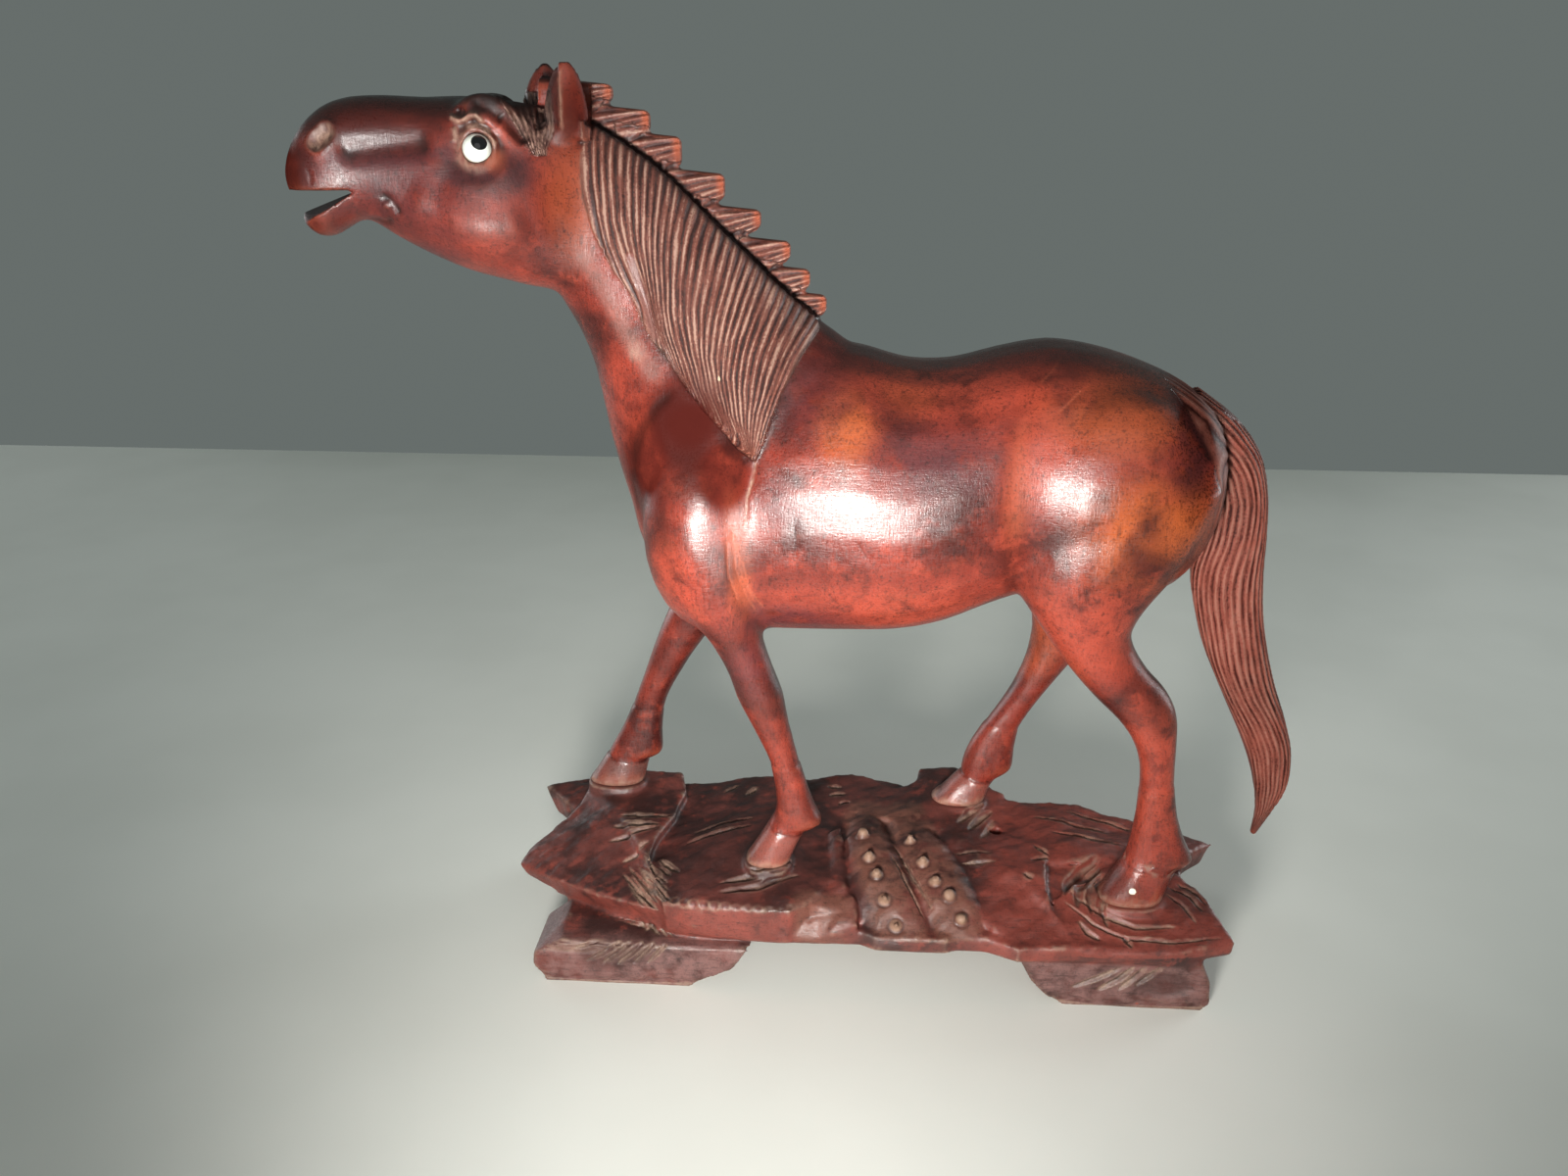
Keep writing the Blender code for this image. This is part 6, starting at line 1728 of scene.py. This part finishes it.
def horse_material():
    """Lacquered reddish-brown stain, mottled, with worn and dirty places, and with painted shade,
    highlights and sheen.
    """
    paint = Paint("horse_wood")
    broad = paint.noise(13, 3, wave=0.5)
    medium = paint.noise(4.0, 4, rough=0.6)
    speckle = paint.noise(0.42, 3, rough=0.75)
    coarse = paint.noise(1.1, 3, stretch=(1, 1, 1.6), rough=0.7)
    grain = paint.noise(0.6, 3, stretch=(1.2, 1, 6), turn=(0, 12, 0), rough=0.65)
    colour = paint.mix(paint.spread(broad, 0.36, 0.64), WOOD_DEEP_AND_SHADE, WOOD_MID)
    colour = paint.coats(
        colour,
        (paint.spread(medium, 0.50, 0.72), WOOD_RED_AND_LIT, 0.45),
        # The red layer also holds painted light on the upper back.
        (paint.patchy("red", medium, 0.25, 0.55), WOOD_RED_AND_LIT, 0.9),
        (paint.patchy("amber", broad, 0.30, 0.60), AMBER, 0.85),
        (paint.patchy("plum", medium, 0.28, 0.55), PLUM, 0.9),
        (paint.spread(grain, 0.55, 0.70), SOOT_AND_SHADE, 0.42),
        (paint.spread(coarse, 0.57, 0.70), SOOT_AND_SHADE, 0.40),
        (paint.spread(speckle, 0.53, 0.66), SOOT_AND_SHADE, 0.58),
        # Hooves' horn colour, partly painted sheen, and painted highlights on the mane's sliver and
        # the neck's band.
        (paint.layer("horn"), HORN_AND_SHEEN, 0.55))
    along = paint.streaks("strand", 1.7, 0.16)
    ridge = paint.maths("SUBTRACT", strand_height(paint), 0.55)
    ridge = paint.maths("ADD", paint.maths("MULTIPLY", ridge, paint.layer("clear")), 0.55)
    for uneven, amount in ((along, 1.9), (speckle, 1.3)):
        ridge = paint.maths("ADD", ridge, paint.maths(
            "MULTIPLY", paint.maths("SUBTRACT", uneven, 0.5), amount))
    ridge = paint.maths("ADD", ridge, paint.maths("MULTIPLY", paint.layer("broad"), 0.12))
    # Groove colour partly painted shade, crest colour partly a painted highlight.
    hair = paint.mix(paint.spread(ridge, 0.12, 0.45), HAIR_GROOVE, HAIR_SIDE)
    hair = paint.mix(paint.spread(ridge, 0.62, 1.05), hair, HAIR_RIDGE)
    hair = paint.over(hair, paint.spread(medium, 0.50, 0.70), HAIR_SIDE, 0.5)
    hair = paint.over(hair, paint.maths("MULTIPLY", paint.layer("broad"),
                                        paint.spread(ridge, 0.2, 0.7)), TAIL_RED, 0.55)
    colour = paint.mix(paint.layer("hair"), colour, hair)
    dull = paint.mix(paint.spread(grain, 0.40, 0.62), HAIR_RIDGE, HAIR_GROOVE)
    colour = paint.over(colour, paint.layer("forelock"), dull, 0.75)
    colour = paint.coats(
        colour,
        # Painted shade in the hollows.
        (paint.spread(paint.layer("stands_out"), -0.04, -0.24), SOOT_AND_SHADE, 0.75),
        (paint.spread(paint.layer("stands_out"), 0.10, 0.35), RUST, 0.22),
        (paint.layer("rust"), RUST, 0.75),
        # These two layers hold darker stain and soot, and also painted shade.
        (paint.layer("deep"), WOOD_DEEP_AND_SHADE, 0.85),
        (paint.layer("soot"), SOOT_AND_SHADE, 0.92))
    flecks = paint.patchy("fleck", speckle, 0.50, 0.60)
    colour = paint.over(colour, flecks, SOOT_AND_SHADE, 0.85)
    soil = paint.patchy("soil", coarse, 0.35, 0.60, 0.25, 1)
    colour = paint.over(colour, soil, SOIL, 0.85)
    for place, size, tint in HORSE_SPECKS:
        spot = paint.maths("ADD", paint.away(*place), paint.maths("MULTIPLY", speckle, 0.4))
        colour = paint.over(colour, paint.spread(spot, size + 0.28, size + 0.12), tint)
    brush = paint.noise(0.24, 3, stretch=(9, 1, 1.2), turn=(0, 10, 0), rough=0.7)
    marks = paint.noise(0.22, 3, stretch=(1.2, 1, 8), turn=(0, 22, 0), rough=0.7)
    worn = paint.maths("MAXIMUM", paint.layer("matte"), paint.layer("soil"))
    chatter = paint.maths("ADD", brush, marks)
    roughness = paint.maths("ADD", paint.spread(chatter, 0.8, 1.25, 0.24, 0.42),
                            paint.maths("MULTIPLY", worn, 0.32))
    normal = paint.bump(chatter, 0.045, 0.8)
    normal = paint.bump(paint.noise(5.0, 2), 0.30, 0.35, normal)
    normal = paint.bump(paint.maths("MULTIPLY", strand_height(paint), paint.layer("hair")),
                        0.22, 0.8, normal)
    paint.put(normal, paint.shader.inputs["Coat Normal"])
    polish = paint.spread(paint.layer("dull"), 0, 1, 1, 0)
    return paint.finish(colour, roughness, normal, Coat_Roughness=0.24, Coat_IOR=1.5,
                        Coat_Weight=paint.maths("MULTIPLY", polish, 0.10),
                        Specular_IOR_Level=paint.maths("MULTIPLY", polish, 0.45))


def stand_material():
    """Darker satin stain with pale tool cuts and rubbed edges, painted shade in hollows and round
    the studs, and painted light on the front faces.
    """
    paint = Paint("stand_wood")
    broad = paint.noise(11, 3, wave=0.6)
    medium = paint.noise(3.0, 4, rough=0.65)
    speckle = paint.noise(0.42, 3, rough=0.75)
    coarse = paint.noise(1.0, 3, rough=0.7)
    grain = paint.noise(0.6, 3, stretch=(8, 1, 1), turn=(0, 0, 5), rough=0.65)
    colour = paint.mix(paint.spread(broad, 0.36, 0.64), STAND_DEEP, STAND_MID)
    colour = paint.coats(
        colour,
        (paint.spread(medium, 0.52, 0.70), STAND_RED_AND_LIT, 0.55),
        (paint.patchy("grey", medium, 0.30, 0.60), FOOT_GREY, 0.8),
        # The red layer also holds painted light on the front faces.
        (paint.patchy("red", medium, 0.2, 0.5), STAND_RED_AND_LIT, 0.9),
        (paint.patchy("rib", medium, 0.3, 0.55), RIB_BROWN, 0.8),
        (paint.layer("pale"), RIB_BROWN, 0.8),
        (paint.spread(grain, 0.54, 0.70), SOOT_AND_SHADE, 0.42),
        (paint.spread(coarse, 0.56, 0.70), SOOT_AND_SHADE, 0.40),
        (paint.spread(speckle, 0.55, 0.66), SOOT_AND_SHADE, 0.45),
        # Painted shade in the hollows.
        (paint.spread(paint.layer("stands_out"), -0.05, -0.30), SOOT_AND_SHADE, 0.8))
    rubbed = paint.maths("MULTIPLY", paint.spread(paint.layer("stands_out"), 0.08, 0.26),
                         paint.spread(coarse, 0.32, 0.56))
    colour = paint.over(colour, rubbed, CUT_TAN, 0.55)
    colour = paint.over(colour, paint.layer("worn"), CUT_TAN, 0.55)
    fibre = paint.spread(speckle, 0.30, 0.58, 0.35, 1)
    colour = paint.coats(
        colour,
        (paint.maths("MULTIPLY", paint.layer("cut"), fibre), CUT_TAN, 0.85),
        # The dark layer is painted shade round the foot of each stud.
        (paint.layer("soot"), SOOT_AND_SHADE, 0.7),
        (paint.layer("deep"), STAND_DEEP, 0.8))
    studs = paint.patchy("stud", speckle, 0.25, 0.55, 0.5, 1)
    colour = paint.over(colour, studs, STUD_TAN, 0.9)
    for place, size, tint in STAND_SPECKS:
        spot = paint.maths("ADD", paint.away(*place), paint.maths("MULTIPLY", speckle, 1.2))
        colour = paint.over(colour, paint.spread(spot, size + 0.75, size + 0.55), tint)
    brush = paint.noise(0.26, 3, stretch=(7, 1.5, 1), rough=0.7)
    worn = paint.maths("MAXIMUM", paint.layer("cut"), paint.layer("stud"))
    roughness = paint.maths("ADD", paint.spread(brush, 0.38, 0.66, 0.40, 0.62),
                            paint.maths("MULTIPLY", worn, 0.14))
    normal = paint.bump(paint.maths("ADD", brush, speckle), 0.06, 0.8)
    normal = paint.bump(paint.noise(2.2, 3), 0.16, 0.6, normal)
    paint.put(normal, paint.shader.inputs["Coat Normal"])
    return paint.finish(colour, roughness, normal, Coat_Weight=0.10, Coat_Roughness=0.35,
                        Coat_IOR=1.5, Specular_IOR_Level=0.45)


def eye_material():
    """Milky glass with a black pupil."""
    paint = Paint("eye_glass")
    gaze = paint.layer("gaze")
    pupil = paint.spread(gaze, PUPIL_COSINE - PUPIL_EDGE, PUPIL_COSINE + PUPIL_EDGE)
    cloud = paint.noise(1.6, 2)
    white = paint.mix(paint.spread(cloud, 0.35, 0.70), (0.70, 0.74, 0.66), (0.80, 0.84, 0.78))
    rim = paint.spread(gaze, -0.25, 0.25)
    white = paint.mix(rim, (0.34, 0.24, 0.17), white)
    colour = paint.mix(pupil, white, (0.004, 0.004, 0.004))
    normal = paint.bump(paint.noise(0.8, 2), 0.01, 0.2)
    return paint.finish(colour, paint.spread(cloud, 0.3, 0.7, 0.06, 0.12), normal,
                        Coat_Weight=0.8, Coat_Roughness=0.04, IOR=1.5)


def make_eye(name, side):
    """Glass bead with the direction of its pupil."""
    bm = bmesh.new()
    bmesh.ops.create_icosphere(bm, subdivisions=5, radius=EYE_RADIUS * SQUARE)
    turned = Matrix.Rotation(HEAD_YAW, 3, "Z") @ Vector((GAZE[0], side * GAZE[1], GAZE[2]))
    turned.normalize()
    gaze = np.array([vertex.co.normalized().dot(turned) for vertex in bm.verts])
    bmesh.ops.translate(bm, verts=bm.verts, vec=eye_centre(side))
    eye = mesh_object(name, bm)
    store(eye, "gaze", gaze)
    return eye


def finish_piece(obj, material, node):
    """The piece goes into the object's own frame and stands for its solid."""
    obj.name = obj.data.name = "carved_" + node if node in ("horse", "stand") else "glass_" + node
    obj.data.transform(Matrix.Translation(ROOT_SHIFT))
    set_places(obj, np.clip(get_places(obj), cad_box[0], cad_box[1]))
    obj.data.shade_smooth()
    obj.data.materials.clear()
    obj.data.materials.append(material)
    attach(obj, "root")
    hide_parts(node)


# Soft boxes: name, place, target, size, power, colour and spread of the beam in degrees
LIGHTS = [
    ("key", (-0.034, -0.245, 0.080), (0.0, 0.0, 0.080), 0.050, 0.29, (1.0, 0.97, 0.93), 75),
    ("fill", (0.10, -0.42, 0.34), (0.0, 0.0, 0.08), 0.40, 0.22, (1.0, 1.0, 1.0), 180),
    ("front", (-0.090, -0.25, 0.104), (-0.074, -0.01, 0.142), 0.15, 0.032, (1.0, 0.97, 0.97), 36),
    ("back_left", (-0.50, 0.30, 0.11), (0.0, 0.0, 0.08), 0.35, 0.22, (0.95, 0.98, 1.0), 75),
    ("back_right", (0.53, 0.30, 0.11), (0.0, 0.0, 0.08), 0.35, 0.44, (0.95, 0.98, 1.0), 75),
]
ROOM_COLOUR = (0.135, 0.155, 0.148, 1)
TABLE_COLOURS = ((0.86, 0.88, 0.82), (0.91, 0.93, 0.87))
TABLE_CORNERS = ((-1.2, -0.9, 0), (1.2, -0.9, 0), (1.2, 0.345, 0), (-1.2, 0.345, 0))
CAMERA_AT = (0.00755, -0.21625, 0.158)
CAMERA_TURN = (68.58, 0, 4.08)      # degrees
CAMERA_LENS = 29.25                 # millimetres, as is the sensor's width
CAMERA_SENSOR = 36


def area_light(name, place, target, size, power, colour, spread):
    """Soft box that looks at a point."""
    light = bpy.data.lights.new(name, "AREA")
    light.shape = "DISK"
    light.size = size
    light.energy = power
    light.color = colour
    light.spread = math.radians(spread)
    obj = bpy.data.objects.new(name, light)
    bpy.context.scene.collection.objects.link(obj)
    obj.location = place
    obj.visible_camera = False
    obj.rotation_euler = (Vector(target) - Vector(place)).to_track_quat("-Z", "Y").to_euler()


def make_stage():
    """Pale table top, soft light and the camera of the photograph."""
    bm = bmesh.new()
    bm.faces.new([bm.verts.new(point) for point in TABLE_CORNERS])
    floor = mesh_object("floor", bm)
    paint = Paint("table_top")
    tone = paint.mix(paint.spread(paint.noise(60, 3), 0.3, 0.7), *TABLE_COLOURS)
    floor.data.materials.append(paint.finish(
        tone, 0.9, paint.bump(paint.noise(1.5, 3, (6, 1, 1)), 0.05, 0.3),
        Specular_IOR_Level=0.15))
    for light in LIGHTS:
        area_light(*light)
    world = bpy.data.worlds.new("studio")
    world.use_nodes = True
    world.node_tree.nodes["Background"].inputs["Color"].default_value = ROOM_COLOUR
    bpy.context.scene.world = world
    bpy.context.scene.view_settings.view_transform = "Standard"
    lens = bpy.data.cameras.new("camera")
    lens.lens = CAMERA_LENS
    lens.sensor_width = CAMERA_SENSOR
    camera = bpy.data.objects.new("camera", lens)
    bpy.context.scene.collection.objects.link(camera)
    camera.location = CAMERA_AT
    camera.rotation_euler = [math.radians(angle) for angle in CAMERA_TURN]
    bpy.context.scene.camera = camera


def main():
    horse = carve_horse()
    stand = carve_stand()
    for piece in (horse, stand):
        store(piece, "stands_out", convexity(piece, HOLLOW_PASSES))
    finish_piece(horse, horse_material(), "horse")
    finish_piece(stand, stand_material(), "stand")
    glass = eye_material()
    for name, side in (("left_eye", -1), ("right_eye", 1)):
        finish_piece(make_eye(name, side), glass, name)
    make_stage()


main()
